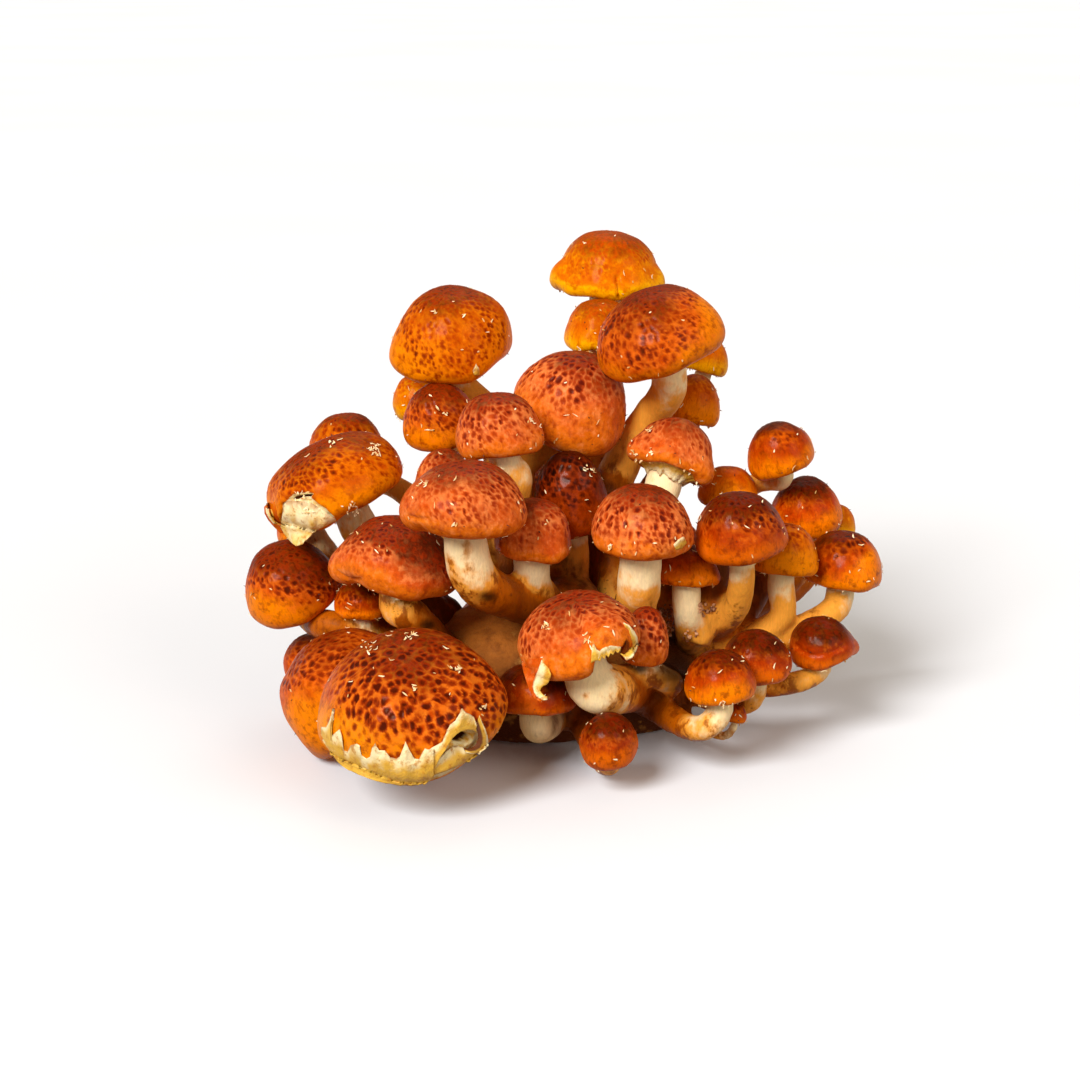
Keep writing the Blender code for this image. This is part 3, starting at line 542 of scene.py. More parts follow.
SHEETS = (
    Sheet("veil_largest_band", "cap_front_left_largest", "veil", (
        (321, 727, 0.3, 321, 735, 0.3), (326, 727, 0.4, 325, 742, 0.5), (329, 721, 0.7, 327, 747, 0.5),
        (333.5, 708, 1.4, 329, 750, 0.5), (332, 724, 0.8, 331, 753, 0.5), (331.5, 736, 0.4, 333, 756, 0.6),
        (335, 733, 0.8, 336, 760, 0.7), (339, 729.5, 1.5, 338.5, 763, 0.7), (342, 738, 1.0, 342, 766, 0.7),
        (344, 751, 0.4, 345, 768, 0.7), (347.5, 752, 0.4, 348, 770, 0.7),
        (350.5, 745.5, 0.8, 351, 771, 0.8), (356, 744, 1.2, 355, 773, 0.8),
        (359.5, 746.5, 0.9, 359, 775, 0.7), (361.5, 756, 0.4, 362, 776, 0.7),
        (366, 759, 0.3, 366, 777.5, 0.7), (370, 757, 0.4, 370, 779, 0.8), (372, 748, 1.0, 373, 780, 0.8),
        (375, 743.5, 1.6, 376, 781, 0.8), (379, 751, 1.0, 380, 782, 0.8),
        (384.5, 750.5, 1.1, 386, 783.5, 0.8), (390.5, 757.5, 0.5, 391, 784, 0.9),
        (396, 759, 0.3, 396, 785, 0.9), (399.5, 757, 0.5, 400, 786, 0.9),
        (402.5, 750, 1.0, 403, 785.5, 0.9), (405.5, 741.5, 1.8, 406, 785.5, 0.9),
        (409.5, 750, 1.1, 410, 786, 0.9), (414.5, 759, 0.4, 414, 785.5, 0.9),
        (419, 759.5, 0.4, 418, 785, 1.0), (422, 753, 0.8, 421, 784.5, 1.0),
        (425, 748.5, 1.1, 424, 783.5, 1.1), (428, 750, 0.9, 428, 782, 1.2),
        (431, 749.5, 0.9, 431, 780, 1.3), (434, 749, 0.9, 434, 776, 1.3),
    )),
    Sheet("veil_largest_lip", "cap_front_left_largest", "veil", (
        (427, 752, 0.3, 431, 775, 0.4), (432, 748, 0.5, 435, 768, 0.6), (437.5, 744.5, 0.6, 440, 758, 0.8),
        (442.5, 741.5, 0.7, 445, 751, 0.9), (446, 733.5, 0.7, 448.5, 744.5, 0.9),
        (449.5, 725.5, 0.9, 452.5, 738.5, 0.8), (455.5, 721.5, 1.2, 457, 734, 0.8),
        (459.5, 714.5, 1.9, 461, 731.5, 0.8), (462.5, 708.5, 2.6, 464.5, 731, 0.7),
        (466, 712.5, 2.2, 468, 730, 0.5), (470, 714, 2.0, 471.5, 730, 0.3),
        (474, 717, 1.7, 474, 730.5, 0.0), (476.5, 725.5, 1.0, 476, 732.5, -0.6),
    )),
    Sheet("veil_largest_cup", "cap_front_left_largest", "veil", (
        (479.5, 715.5, 1.8, 477, 728, 0.4), (482, 722, 1.5, 477.5, 731, -0.4),
        (485, 728.5, 1.2, 478, 735, -1.2), (487.5, 735.5, 1.0, 478, 739.5, -1.8),
        (488.5, 742.5, 0.9, 476.5, 743.5, -2.0), (486, 749, 0.8, 474, 746.5, -2.0),
        (480, 753, 0.6, 470.5, 748, -1.8), (473, 754, 0.2, 467, 748.5, -1.8),
        (467, 752.5, -0.6, 463.5, 747.5, -2.0),
    ), 3.0),
    Sheet("veil_largest_panel", "cap_front_left_largest", "veil", (
        (434, 763, -0.6, 434, 775, 0.6), (440, 758, -1.0, 441, 773, 0.4),
        (446, 752, -1.4, 448, 770.5, 0.2), (452, 747, -1.8, 455, 767.5, 0),
        (458, 745.5, -2.0, 462, 764.5, -0.2), (464, 748, -2.0, 470, 760.5, -0.3),
        (471, 750, -1.6, 478, 755.5, -0.2),
    )),
    Sheet("flap_left_curl", "cap_left_torn", "orange", (
        (268, 502.5, 1.4, 275, 502, 0.1), (264, 507, 2.4, 276, 508, -0.1),
        (264.5, 513.5, 2.4, 278, 514, -0.1), (268, 520, 1.8, 280, 521, -0.1),
        (273, 526, 1.0, 282, 527, 0.0), (280, 533, 0.4, 284, 533, 0.0),
    )),
    Sheet("veil_left_curl", "cap_left_torn", "veil", (
        (265.5, 508, 2.6, 271, 509.5, 1.6), (266, 513, 2.7, 272.5, 514, 1.6),
        (269, 518.5, 2.1, 274.5, 519, 1.3), (273, 523.5, 1.4, 277, 524, 0.9),
    )),
    Sheet("veil_left_hang", "cap_left_torn", "veil", (
        (284, 504, -0.6, 280.5, 527, 0.3), (287, 501.5, -0.5, 283.5, 533, 0.9),
        (290, 500.5, -1.0, 287, 538, 0.5), (294, 500.5, -0.6, 291.5, 543, 1.2),
        (298, 501, -1.0, 296, 546, 0.7), (303, 501.5, -0.5, 302, 544.5, 1.3),
        (308, 502, -0.9, 307, 539, 0.7), (313, 504, -0.4, 312, 534, 1.1), (318, 507, -0.8, 318, 530, 0.4),
        (324, 511, -0.3, 324, 527, 0.7), (330, 515.5, -0.4, 330, 524, 0.3),
        (336, 519.5, 0.0, 336, 521.5, 0.1),
    ), 0.4),
    Sheet("flap_torn_hook", "cap_front_torn", "brick", (
        (522, 648, -0.6, 541, 648, -0.6), (521.5, 655, -0.3, 543, 656, -0.2),
        (521, 662, 0.0, 543, 663, 0.4), (523, 671, 0.2, 539, 672, 1.0), (526.5, 682, 0.5, 534, 682, 1.4),
        (529.5, 691, 0.7, 534.5, 689.5, 1.6), (534, 698.5, 0.9, 538.5, 696, 1.6),
        (541, 702, 1.0, 543.5, 699, 1.4),
    )),
    Sheet("veil_torn_hook", "cap_front_torn", "veil", (
        (541.5, 660, 0.6, 543, 662, 0.5), (540, 664, 1.0, 548.5, 668, 1.0),
        (538, 670, 1.8, 550.5, 674, 1.8), (535.5, 676, 2.4, 550, 679, 2.6),
        (533.5, 681, 2.6, 547.5, 683.5, 3.0), (532.5, 687, 2.4, 541.5, 687, 2.6),
        (534, 692.5, 2.3, 540, 690.5, 2.0), (538, 697.5, 2.1, 542, 693.5, 1.6),
        (543, 700, 1.8, 545, 696, 1.4), (547.5, 699.5, 1.4, 547.5, 696.5, 1.1),
    ), 0.7),
    Sheet("veil_torn_fringe", "cap_front_torn", "veil", (
        (592, 645, 0.6, 591, 663, 0.3), (594, 643.5, 0.7, 595, 661, 0.3), (596.5, 649, 0.5, 598, 660, 0.3),
        (600, 651, 0.4, 600, 661, 0.2), (602, 649.5, 0.4, 602, 656.5, 0.2),
        (604, 648, 0.4, 604.5, 659, 0.1), (606, 647, 0.4, 606, 655, 0.1),
        (608, 647, 0.4, 608.5, 657.5, 0.1), (611, 646, 0.3, 610.5, 653, 0.1), (613, 646, 0.3, 613, 655, 0),
        (616, 646.5, 0.3, 615.5, 651, 0), (618.5, 647, 0.3, 618, 653, 0), (621, 647, 0.2, 620.5, 650, 0),
    )),
    Sheet("veil_torn_curl", "cap_front_torn", "veil", (
        (624, 622.5, 0.6, 625.5, 627, 0.4), (629, 625, 0.9, 629, 630, 0.3),
        (634, 630.5, 1.1, 631, 636, 0.1), (637.5, 637, 1.2, 632, 641, -0.2),
        (638.5, 645, 1.2, 631, 647, -0.5), (636, 652, 1.1, 628, 651.5, -0.7),
        (632, 657.5, 0.9, 624, 654.5, -0.6), (627, 659.5, 0.7, 620.5, 653, -0.4),
    )),
    Sheet("veil_front_bit", "cap_right_front", "veil", (
        (674, 545, 0.4, 676, 550, 0.3), (679, 540, 0.9, 681.5, 549, 0.5), (684, 537, 0.8, 687, 543, 0.4),
    )),
    Sheet("veil_upper_tooth", "cap_upper_left_large", "veil", (
        (473, 371, 0.4, 474, 375, 0.4), (476, 364, 0.9, 477, 376, 0.5), (479, 368, 0.7, 480, 375, 0.4),
    )),
)

# A sheet's thickness and ripple in mm, and how far apart its points are in the picture's pixels
SHEET_THICK = 0.35
SHEET_RIPPLE = 0.22
RIPPLE_SIZE = 5.0
SHEET_STEP = 1.1
SHEET_ROW = 1.6

# How far from the dark crown a sheet's skin is painted: 0 is the crown, and 1 a cap's widest ring
SHEET_RISE = 0.8

# The radius in mm of a cap with the usual number of husks and points, of which a larger cap has more
USUAL_RADIUS = 15

# Veils still joined to their stems: the cap, the compass points that they reach between, and their drop in mm
SKIRTS = (
    ("cap_right_lifted", -195, 15, 3.2),
    ("cap_top_large", -165, -15, 2.4),
    ("cap_right_front", -205, -150, 2.2),
    ("cap_middle_low", -175, -120, 2.2),
    ("cap_front_right_near", -75, -5, 1.8),
    ("cap_front_flat", -175, -120, 1.5),
    ("cap_back_middle", 20, 150, 2.6),
    ("cap_back_left", 30, 190, 2.4),
)

# Their thickness in mm, the degrees between their points, and their rows
SKIRT_THICK = 0.3
SKIRT_TURN = 3
SKIRT_ROWS = 9

# Heaps of husk on each cap: the place in the picture, how many, and how wide in pixels
HEAPS = {
    "cap_left_torn": (
        (374, 450, 26, 6), (333, 444, 5, 4), (351, 505, 6, 4), (354, 511, 7, 5), (306, 511, 9, 5),
        (300, 495, 7, 8),
    ),
    "cap_front_left_largest": (
        (410, 636, 14, 6), (457, 670, 9, 4), (415, 688, 4, 3), (483, 706, 5, 3), (372, 650, 10, 14),
    ),
    "cap_front_torn": ((546, 627, 9, 4), (588, 638, 7, 5)),
    "cap_middle_bud": ((590, 470, 8, 5),),
    "cap_upper_left_large": ((435, 312, 3, 2), (464, 314, 3, 2)),
    "cap_upper_left_small": ((437, 408, 3, 2), (445, 414, 3, 2)),
    "cap_middle_left": ((531, 424, 5, 4),),
    "cap_middle_front": ((424, 485, 6, 4), (454, 524, 3, 2)),
    "cap_right_lifted": ((650, 431, 6, 3), (651, 451, 6, 3), (634, 455, 8, 4)),
    "cap_right_front": ((611, 546, 6, 3),),
    "cap_front_right_near": ((722, 706, 8, 6),),
}

# Painted shade: dark spots on the stems and the base where hollows lie in shade: the middle in the picture
# and the half sizes, in pixels
SHADE_SPOTS = (
    (488, 597, 9, 6), (428, 625, 9, 6), (660, 640, 16, 14), (676, 668, 20, 22), (640, 668, 8, 6),
)

# Crumbs of substrate between the stems: the middle in the picture, the half sizes in pixels, and how many
CRUMBS = ((664, 620, 9, 15, 46), (707, 610, 8, 7, 22), (648, 648, 6, 8, 12), (690, 636, 7, 6, 10))


# Placing, as in the part's source

def view_rotation():
    """Turns (across, away, up) as seen into the clump's own axes."""
    return Matrix.Rotation(-VIEW_DIP, 4, "X")


def viewer_eye():
    return VIEW_AIM + view_rotation() @ Vector((0, -VIEW_DISTANCE, 0))


def as_seen(across, up, depth):
    """The point that the viewer sees at that place, in metres. Behind VIEW_AIM, points spread wider."""
    away = depth * MM
    spread = (VIEW_DISTANCE + away) / VIEW_DISTANCE
    seen = Vector((across * MM * spread, away, up * MM * spread))
    return VIEW_AIM + view_rotation() @ seen


def cap_matrix(mushroom):
    """Places a cap whose own +Z is its axis and whose middle is at its origin. The cap itself is in mm."""
    lean = Matrix.Rotation(math.radians(mushroom.lean_right), 4, "Y")
    nod = Matrix.Rotation(math.radians(mushroom.lean_near), 4, "X")
    centre = as_seen(mushroom.across, mushroom.up, mushroom.depth)
    return Matrix.Translation(centre) @ view_rotation() @ lean @ nod @ Matrix.Scale(MM, 4)


# Numbers

def colour(code):
    """A colour written as six hex digits, as linear red, green, blue and alpha."""
    shares = [int(code[at : at + 2], 16) / 255 for at in (0, 2, 4)]
    return (*[share / 12.92 if share < 0.04 else ((share + 0.055) / 1.055) ** 2.4 for share in shares], 1.0)


def step_up(low, high, values):
    """Rises smoothly from 0 at low to 1 at high."""
    share = np.clip((values - low) / (high - low), 0, 1)
    return share * share * (3 - 2 * share)


def noise(points, size):
    """Smooth noise from -1 to 1 at each point, with lumps of about that size."""
    place = points / size
    low = np.floor(place).astype(int)
    share = place - low
    share = share * share * (3 - 2 * share)
    total = np.zeros(len(points))
    for corner in itertools.product((0, 1), repeat=3):
        weight = np.prod(np.where(corner, share, 1 - share), axis=1)
        x, y, z = ((low + corner) % len(LATTICE)).T
        total += weight * LATTICE[x, y, z]
    return total


def layered(points, layers, unit=1.0):
    """Noise added up from layers of (height, size in units)."""
    return sum(height * noise(points, size * unit) for height, size in layers)


def rippled(around, ripples):
    """The sum, round a ring, of ripples of (how many, size, turn)."""
    return sum(size * np.cos(count * around + turn) for count, size, turn in ripples)


def turned_from(start, around):
    """The turns from start to other angles, between half a turn back and half a turn on."""
    return np.remainder(around - start + math.pi, 2 * math.pi) - math.pi


def on_ring(around, height, radius=1.0):
    """Points round a ring, at a height."""
    return np.stack([radius * np.cos(around), radius * np.sin(around), height + np.zeros_like(around)], 1)


def direction(compass, height):
    """The way to a compass point at a height above the level, in degrees."""
    around = math.radians(compass)
    rise = math.radians(height)
    return math.cos(around) * math.cos(rise), math.sin(around) * math.cos(rise), math.sin(rise)


def smooth_path(points, pieces):
    """Points on a smooth curve through the given ones, with that many pieces in each stretch."""
    ends = [points[0] * 2 - points[1], *points, points[-1] * 2 - points[-2]]
    found = []
    for first in range(len(points) - 1):
        before, start, end, after = ends[first : first + 4]
        for step in range(pieces):
            t = step / pieces
            found.append(0.5 * (
                2 * start
                + (end - before) * t
                + (2 * before - 5 * start + 4 * end - after) * t**2
                + (3 * start - before - 3 * end + after) * t**3
            ))
    found.append(points[-1])
    return found


# Meshes

def transformed(matrix, points):
    """The points of an (n, 3) array, moved by the matrix."""
    table = np.array(matrix)
    return points @ table[:3, :3].T + table[:3, 3]


def make_mesh(name, points, faces):
    mesh = bpy.data.meshes.new(name)
    mesh.from_pydata(points.tolist(), [], faces)
    mesh.shade_smooth()
    mesh.validate()
    return mesh


def mesh_tree(mesh):
    corners = [corner.co for corner in mesh.vertices]
    return BVHTree.FromPolygons(corners, [face.vertices for face in mesh.polygons])


def mesh_vectors(collection, name):
    """A vector of each of a mesh's points, as an array."""
    found = np.zeros(len(collection) * 3, np.float32)
    collection.foreach_get(name, found)
    return found.reshape(-1, 3).astype(float)


def reshape_mesh(mesh, points):
    """Moves a mesh's points to new places in mm."""
    mesh.vertices.foreach_set("co", (points * MM).astype(np.float32).ravel())
    mesh.shade_smooth()


def paint(mesh, name, values):
    """Stores a number, or three, for each of the mesh's points, for its material to read."""
    values = np.asarray(values, np.float32)
    if values.ndim == 1:
        mesh.attributes.new(name, "FLOAT", "POINT").data.foreach_set("value", values)
    else:
        mesh.attributes.new(name, "FLOAT_VECTOR", "POINT").data.foreach_set("vector", values.ravel())


def add_piece(name, mesh, materials, replaced=()):
    """A visible piece that rides on the clump."""
    piece = bpy.data.objects.new(name, mesh)
    for material in materials:
        piece.data.materials.append(material)
    bpy.context.scene.collection.objects.link(piece)
    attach(piece, BODY)
    if replaced:
        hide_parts(*replaced)


def grid_faces(rows, columns):
    """Faces of a grid closed round its columns, row after row."""
    faces = []
    for start in range(0, (rows - 1) * columns, columns):
        for column in range(columns):
            first, second = start + column, start + (column + 1) % columns
            faces.append((first, first + columns, second + columns, second))
    return faces


def cap_faces(rows, columns):
    """Faces of a closed grid with a point past either end. The two points come after the grid's."""
    top, bottom = rows * columns, rows * columns + 1
    last = (rows - 1) * columns
    fan = [(top, column, (column + 1) % columns) for column in range(columns)]
    close = [(bottom, last + (column + 1) % columns, last + column) for column in range(columns)]
    return grid_faces(rows, columns) + fan + close


def ball_mesh(subdivisions, radius):
    """A ball's corners and faces."""
    ball = bmesh.new()
    bmesh.ops.create_icosphere(ball, subdivisions=subdivisions, radius=radius)
    corners = [corner.co.copy() for corner in ball.verts]
    faces = [tuple(corner.index for corner in face.verts) for face in ball.faces]
    ball.free()
    return corners, faces


# Places in the picture

def sight_line(x, y):
    """The viewer's eye, and the way from it through a place in the picture."""
    eye = viewer_eye()
    seen = Vector((x - PICTURE_MIDDLE, 0, PICTURE_MIDDLE - y)) * PIXEL * MM
    return eye, (VIEW_AIM + view_rotation() @ seen - eye).normalized()


def picture_places(points):
    """Where points in metres are in the picture, as columns x and y."""
    seen = transformed(view_rotation().inverted() @ Matrix.Translation(-VIEW_AIM), points)
    pixels = VIEW_DISTANCE / (VIEW_DISTANCE + seen[:, 1]) / (PIXEL * MM)
    return PICTURE_MIDDLE + seen[:, 0] * pixels, PICTURE_MIDDLE - seen[:, 2] * pixels


def inside_outline(x, y, outline):
    """How far each place is inside an outline, in pixels. It is negative outside."""
    inside = np.zeros(len(x), bool)
    nearest = np.full(len(x), np.inf)
    for (x0, y0), (x1, y1) in zip(outline, outline[1:] + outline[:1]):
        if y0 != y1:
            inside ^= ((y0 > y) != (y1 > y)) & (x < (x1 - x0) * (y - y0) / (y1 - y0) + x0)
        length = (x1 - x0) ** 2 + (y1 - y0) ** 2
        share = np.clip(((x - x0) * (x1 - x0) + (y - y0) * (y1 - y0)) / length, 0, 1)
        off = np.hypot(x - x0 - share * (x1 - x0), y - y0 - share * (y1 - y0))
        nearest = np.minimum(nearest, off)
    return np.where(inside, nearest, -nearest)


def nearest_approach(tree, eye, way):
    """How far along a sight line it comes nearest to the front of a piece, and how far off it is there."""
    reach = (tree.find_nearest(eye)[0] - eye).dot(way)
    for _ in range(APPROACHES):
        near = tree.find_nearest(eye + way * reach)[0]
        reach = (near - eye).dot(way)
    return reach, (near - eye - way * reach).length


def on_carrier(tree, x, y, lift):
    """The point that is seen at a place in the picture on a piece, lifted towards the viewer.

    A place beside the piece, or just under its front edge, gives a point level with that edge.
    """
    eye, way = sight_line(x, y)
    reach, off = nearest_approach(tree, eye, way)
    hit = tree.ray_cast(eye, way)[0]
    if hit is not None:
        seen = (hit - eye).length
        if seen < reach + UNDER_EDGE * MM or off > BESIDE_EDGE * MM:
            reach = seen
    return eye + way * (reach - lift * MM)


# Caps

class CapShape:
    """A cap's skin as a surface: any compass point round it and any share of the way from apex to lip."""

    def __init__(self, mushroom, look, rng):
        self.radius = mushroom.wide / 2
        self.tall = mushroom.tall
        self.look = look
        self.lift = mushroom.lift
        self.matrix = cap_matrix(mushroom)
        self.turn = np.array(self.matrix.to_3x3().normalized())
        outline = np.array(OPEN_OUTLINE) * (1 - look.roll) + np.array(ROLLED_OUTLINE) * look.roll
        line = np.array(smooth_path(list(outline), OUTLINE_PIECES))
        line[:, 0] *= 1 - np.interp(line[:, 1], FLANK_HEIGHTS, FLANK_SHARES) * look.flank
        self.across = line[:, 0] * self.radius
        self.high = (line[:, 1] - CAP_MIDDLE) * self.tall
        steps = np.hypot(np.diff(self.across), np.diff(self.high))
        self.along = np.concatenate(([0.0], np.cumsum(steps)))
        self.length = self.along[-1]
        self.widest = self.along[np.argmax(self.across)]
        slope = np.gradient(np.stack([self.across, self.high], 1), self.along, axis=0)
        self.out = np.stack([-slope[:, 1], slope[:, 0]], 1)
        self.out[0] = (0.0, 1.0)
        self.lobes = self.drawn(LOBES, 0.2, rng, shrinking=True)
        self.waves = self.drawn(WAVES, 0.3, rng)
        self.seed = rng.uniform(0, 400, 3)

    def drawn(self, counts, least, rng, shrinking=False):
        """Ripples of random size and turn. Where they shrink, the more of them, the smaller they are."""
        found = []
        for count in counts:
            size = rng.uniform(least, 1) * self.look.wavy
            found.append((count, size / count if shrinking else size, rng.uniform(0, ANY_TURN)))
        return found

    def torn_to(self, around):
        """The share of the skin that is left at each compass point."""
        rim = on_ring(around, self.seed[0])
        left = 1 - self.look.ragged * (1 + layered(rim, TORN_EDGE))
        for compass, half, depth in self.look.tears:
            away = np.abs(turned_from(math.radians(compass), around))
            left -= depth * (1 + 0.25 * noise(rim, 0.09)) * step_up(1.15, 0.75, away / math.radians(half))
        return left

    def profile(self, where):
        """How far out and how high the plain turned skin is, at lengths along it."""
        return np.interp(where, self.along, self.across), np.interp(where, self.along, self.high)

    def skin_place(self, around, share):
        """The plain turned surface's points, by which scales are spaced."""
        across, high = self.profile(share * self.length)
        return on_ring(around, high, across)

    def spread_from(self, points, compass, share, spread):
        """Fades from 1 at a place on the skin over that spread in mm."""
        middle = self.skin_place(np.array([math.radians(compass)]), np.array([share]))
        return np.exp(-((np.linalg.norm(points - middle, axis=1) / spread) ** 2))

    def point(self, around, share, sunk=0.0):
        """Points in the cap's own mm, sunk by a depth below the skin, and the ways out of it there."""
        where = share * self.length * self.torn_to(around)
        across, high = self.profile(where)
        reach = across / self.radius
        out_across = np.interp(where, self.along, self.out[:, 0])
        out_high = np.interp(where, self.along, self.out[:, 1])
        across = (across - out_across * sunk) * (1 + rippled(around, self.lobes) * reach**2)
        high = high - out_high * sunk + self.tall * 0.5 * rippled(around, self.waves) * reach**4
        if self.lift:
            compass, height = self.lift
            away = turned_from(math.radians(compass), around)
            high = high + height * np.exp(-((away / LIFT_SPREAD) ** 2)) * reach**3
        points = on_ring(around, high, across)
        out = on_ring(around, out_high, out_across)
        bulge = self.radius * layered(points + self.seed, CAP_BULGES, self.radius)
        for compass, share_down, push, spread in self.look.pushes:
            bulge = bulge + push * self.spread_from(points, compass, share_down, spread)
        return points + out * bulge[:, None], out

    def pigment_and_light(self, around, share):
        """How far places are from the dark crown: 0 where the skin faces up, and 1 at the widest ring. Gilts
        raise it, partly as painted light, and lower it, partly as painted shade.
        """
        _, out = self.point(around, share)
        facing_up = (out @ self.turn.T)[:, 2]
        pigment_and_light = 0.45 * share * self.length / self.widest + 0.55 * (1 - facing_up)
        places = self.skin_place(around, share)
        # Gilts: gold or dark tone, partly painted light and shade where a cap lies in the light or in
        # another's shadow
        for compass, share_down, tone_and_light, spread in self.look.gilts_and_painted_light:
            pigment_and_light = pigment_and_light + tone_and_light * self.spread_from(places, compass, share_down, spread)
        return pigment_and_light

    def glow(self, around, share):
        """How far from the dark crown the skin is painted, with the gilts' painted light and shade, and with
        the dark crown drawn down by the look's depth.
        """
        pigment_and_light = self.pigment_and_light(around, share)
        return pigment_and_light - self.look.deep * np.clip(1 - pigment_and_light, 0, 1)


class Scales:
    """A cap's dark scales: a sunflower's even spiral with jitter, in patches, thinning out to the rim."""

    def __init__(self, shape, rng):
        look = shape.look
        spacing = look.spacing
        rings = np.diff(shape.along) * 2 * math.pi * shape.across[1:]
        area = np.concatenate(([0.0], np.cumsum(rings)))
        end = np.interp(min(look.reach + 0.15, 1.1) * shape.widest, shape.along, area)
        count = max(int(end / (spacing**2 * 0.85)), 8)
        order = np.arange(count) + 0.5
        where = np.interp(order / count * end, area, shape.along)
        where = np.clip(where + rng.normal(0, STRAY, count) * spacing, 0, shape.length)
        ring = np.maximum(np.interp(where, shape.along, shape.across), 0.5)
        self.around = order * GOLDEN_TURN + rng.normal(0, STRAY, count) * spacing / ring
        self.where = where
        share = where / shape.length
        pigment_and_light = shape.pigment_and_light(self.around, share)
        fade = 1 - step_up(look.reach * 0.5, look.reach + 0.12, pigment_and_light)
        places = shape.skin_place(self.around, share)
        patches = noise(places + shape.seed, 0.75 * shape.radius)
        kept = (0.35 + 0.65 * step_up(-0.5, 0.0, patches)) * (fade > 0.02)
        self.size = spacing * (0.82 - 0.24 * where / shape.widest) * rng.uniform(0.6, 1.2, count)
        self.strength = look.dark * (0.15 + 0.85 * fade) * kept * rng.uniform(0.45, 1.1, count)
        self.spacing = spacing
        self.tree = KDTree(count)
        for number, place in enumerate(places):
            self.tree.insert(Vector(place), number)
        self.tree.balance()

    def cover(self, shape, around, share):
        """At each place on the skin, how much it is a scale and how much a ridge between two."""
        places = shape.skin_place(around, share)
        warp = np.stack([noise(places + shift, 1.7 * self.spacing) for shift in (40, 80, 120)], 1)
        near = [self.tree.find_n(Vector(place), 2) for place in places + 0.45 * self.spacing * warp]
        first = np.array([pair[0][1] for pair in near])
        gap = np.array([pair[1][2] - pair[0][2] for pair in near]) / self.spacing
        where = share * shape.length
        ring = np.interp(where, shape.along, shape.across)
        turn = turned_from(self.around[first], around)
        down = where - self.where[first]
        size, strength = self.size[first], self.strength[first]
        rise = step_up(0.2, 1.0, where / shape.widest)
        tail = np.where(down > 0, 1 + 1.1 * rise, 1 + 0.3 * rise)
        taper = 1 + 0.5 * rise * np.clip(down / size, 0, 2)
        distance = np.hypot(down / tail, turn * ring * taper) * (1 + 0.3 * noise(places + shape.seed, 0.9))
        scale = strength * step_up(1.25, 0.15, distance / size) * (0.4 + 0.6 * step_up(0.0, 0.42, gap))
        ridge = step_up(0.5, 0.0, gap) * step_up(0.0, 0.5, strength)
        return scale, ridge


def ring_count(radius):
    """An even number of points round a cap, for gills and the spaces between them."""
    return 2 * max(int(math.pi * radius / SKIN_STEP), 16)


def wounded(mushroom, shape, points, out):
    """How deep a cap's points are pushed in where its skin is torn off, and the tone that shows there."""
    depth = np.zeros(len(points))
    tone = np.zeros(len(points))
    wounds = [wound for wound in WOUNDS if wound.cap == mushroom.name]
    if not wounds:
        return depth, tone
    places = transformed(shape.matrix, points)
    facing = np.einsum("ij,ij->i", out @ shape.turn.T, np.array(viewer_eye()) - places) > 0
    x, y = picture_places(places)
    for wound in wounds:
        share = step_up(-1.0, 2.0, inside_outline(x, y, wound.outline)) * facing
        depth = np.maximum(depth, wound.depth * share)
        tone = np.maximum(tone, wound.tone * share)
    return depth, tone


def cap_grid(columns, skin_rows):
    """Places over a cap's skin out to its lip, then back in under it, and which of them are under it."""
    share_out = (np.arange(skin_rows) + 1) / skin_rows
    share_in = 1 - (np.arange(GILL_ROWS) + 1) / (GILL_ROWS + 1)
    share = np.repeat(np.concatenate([share_out, share_in]), columns)
    around = np.tile(np.arange(columns) / columns * 2 * math.pi, skin_rows + GILL_ROWS)
    return around, share, np.arange(len(share)) >= skin_rows * columns


def gilled(shape, share):
    """How thick a cap's flesh is at each place, and whether that is at a gill, 1, or between two, -1."""
    gills = np.where(np.arange(len(share)) % 2 == 0, 1, -1)
    depth = GILL_DEPTH * shape.radius * step_up(1.0, 0.85, share) * step_up(0.1, 0.3, share)
    return FLESH_SHARE * shape.radius * (1 - share) ** 0.6 + gills * depth, gills


def set_gill_faces(mesh, columns, skin_rows):
    """Gives the second material to the faces under a cap."""
    gill_faces = np.zeros(len(mesh.polygons), np.int32)
    gill_faces[skin_rows * columns : (skin_rows + GILL_ROWS - 1) * columns] = 1
    gill_faces[-columns:] = 1
    mesh.polygons.foreach_set("material_index", gill_faces)


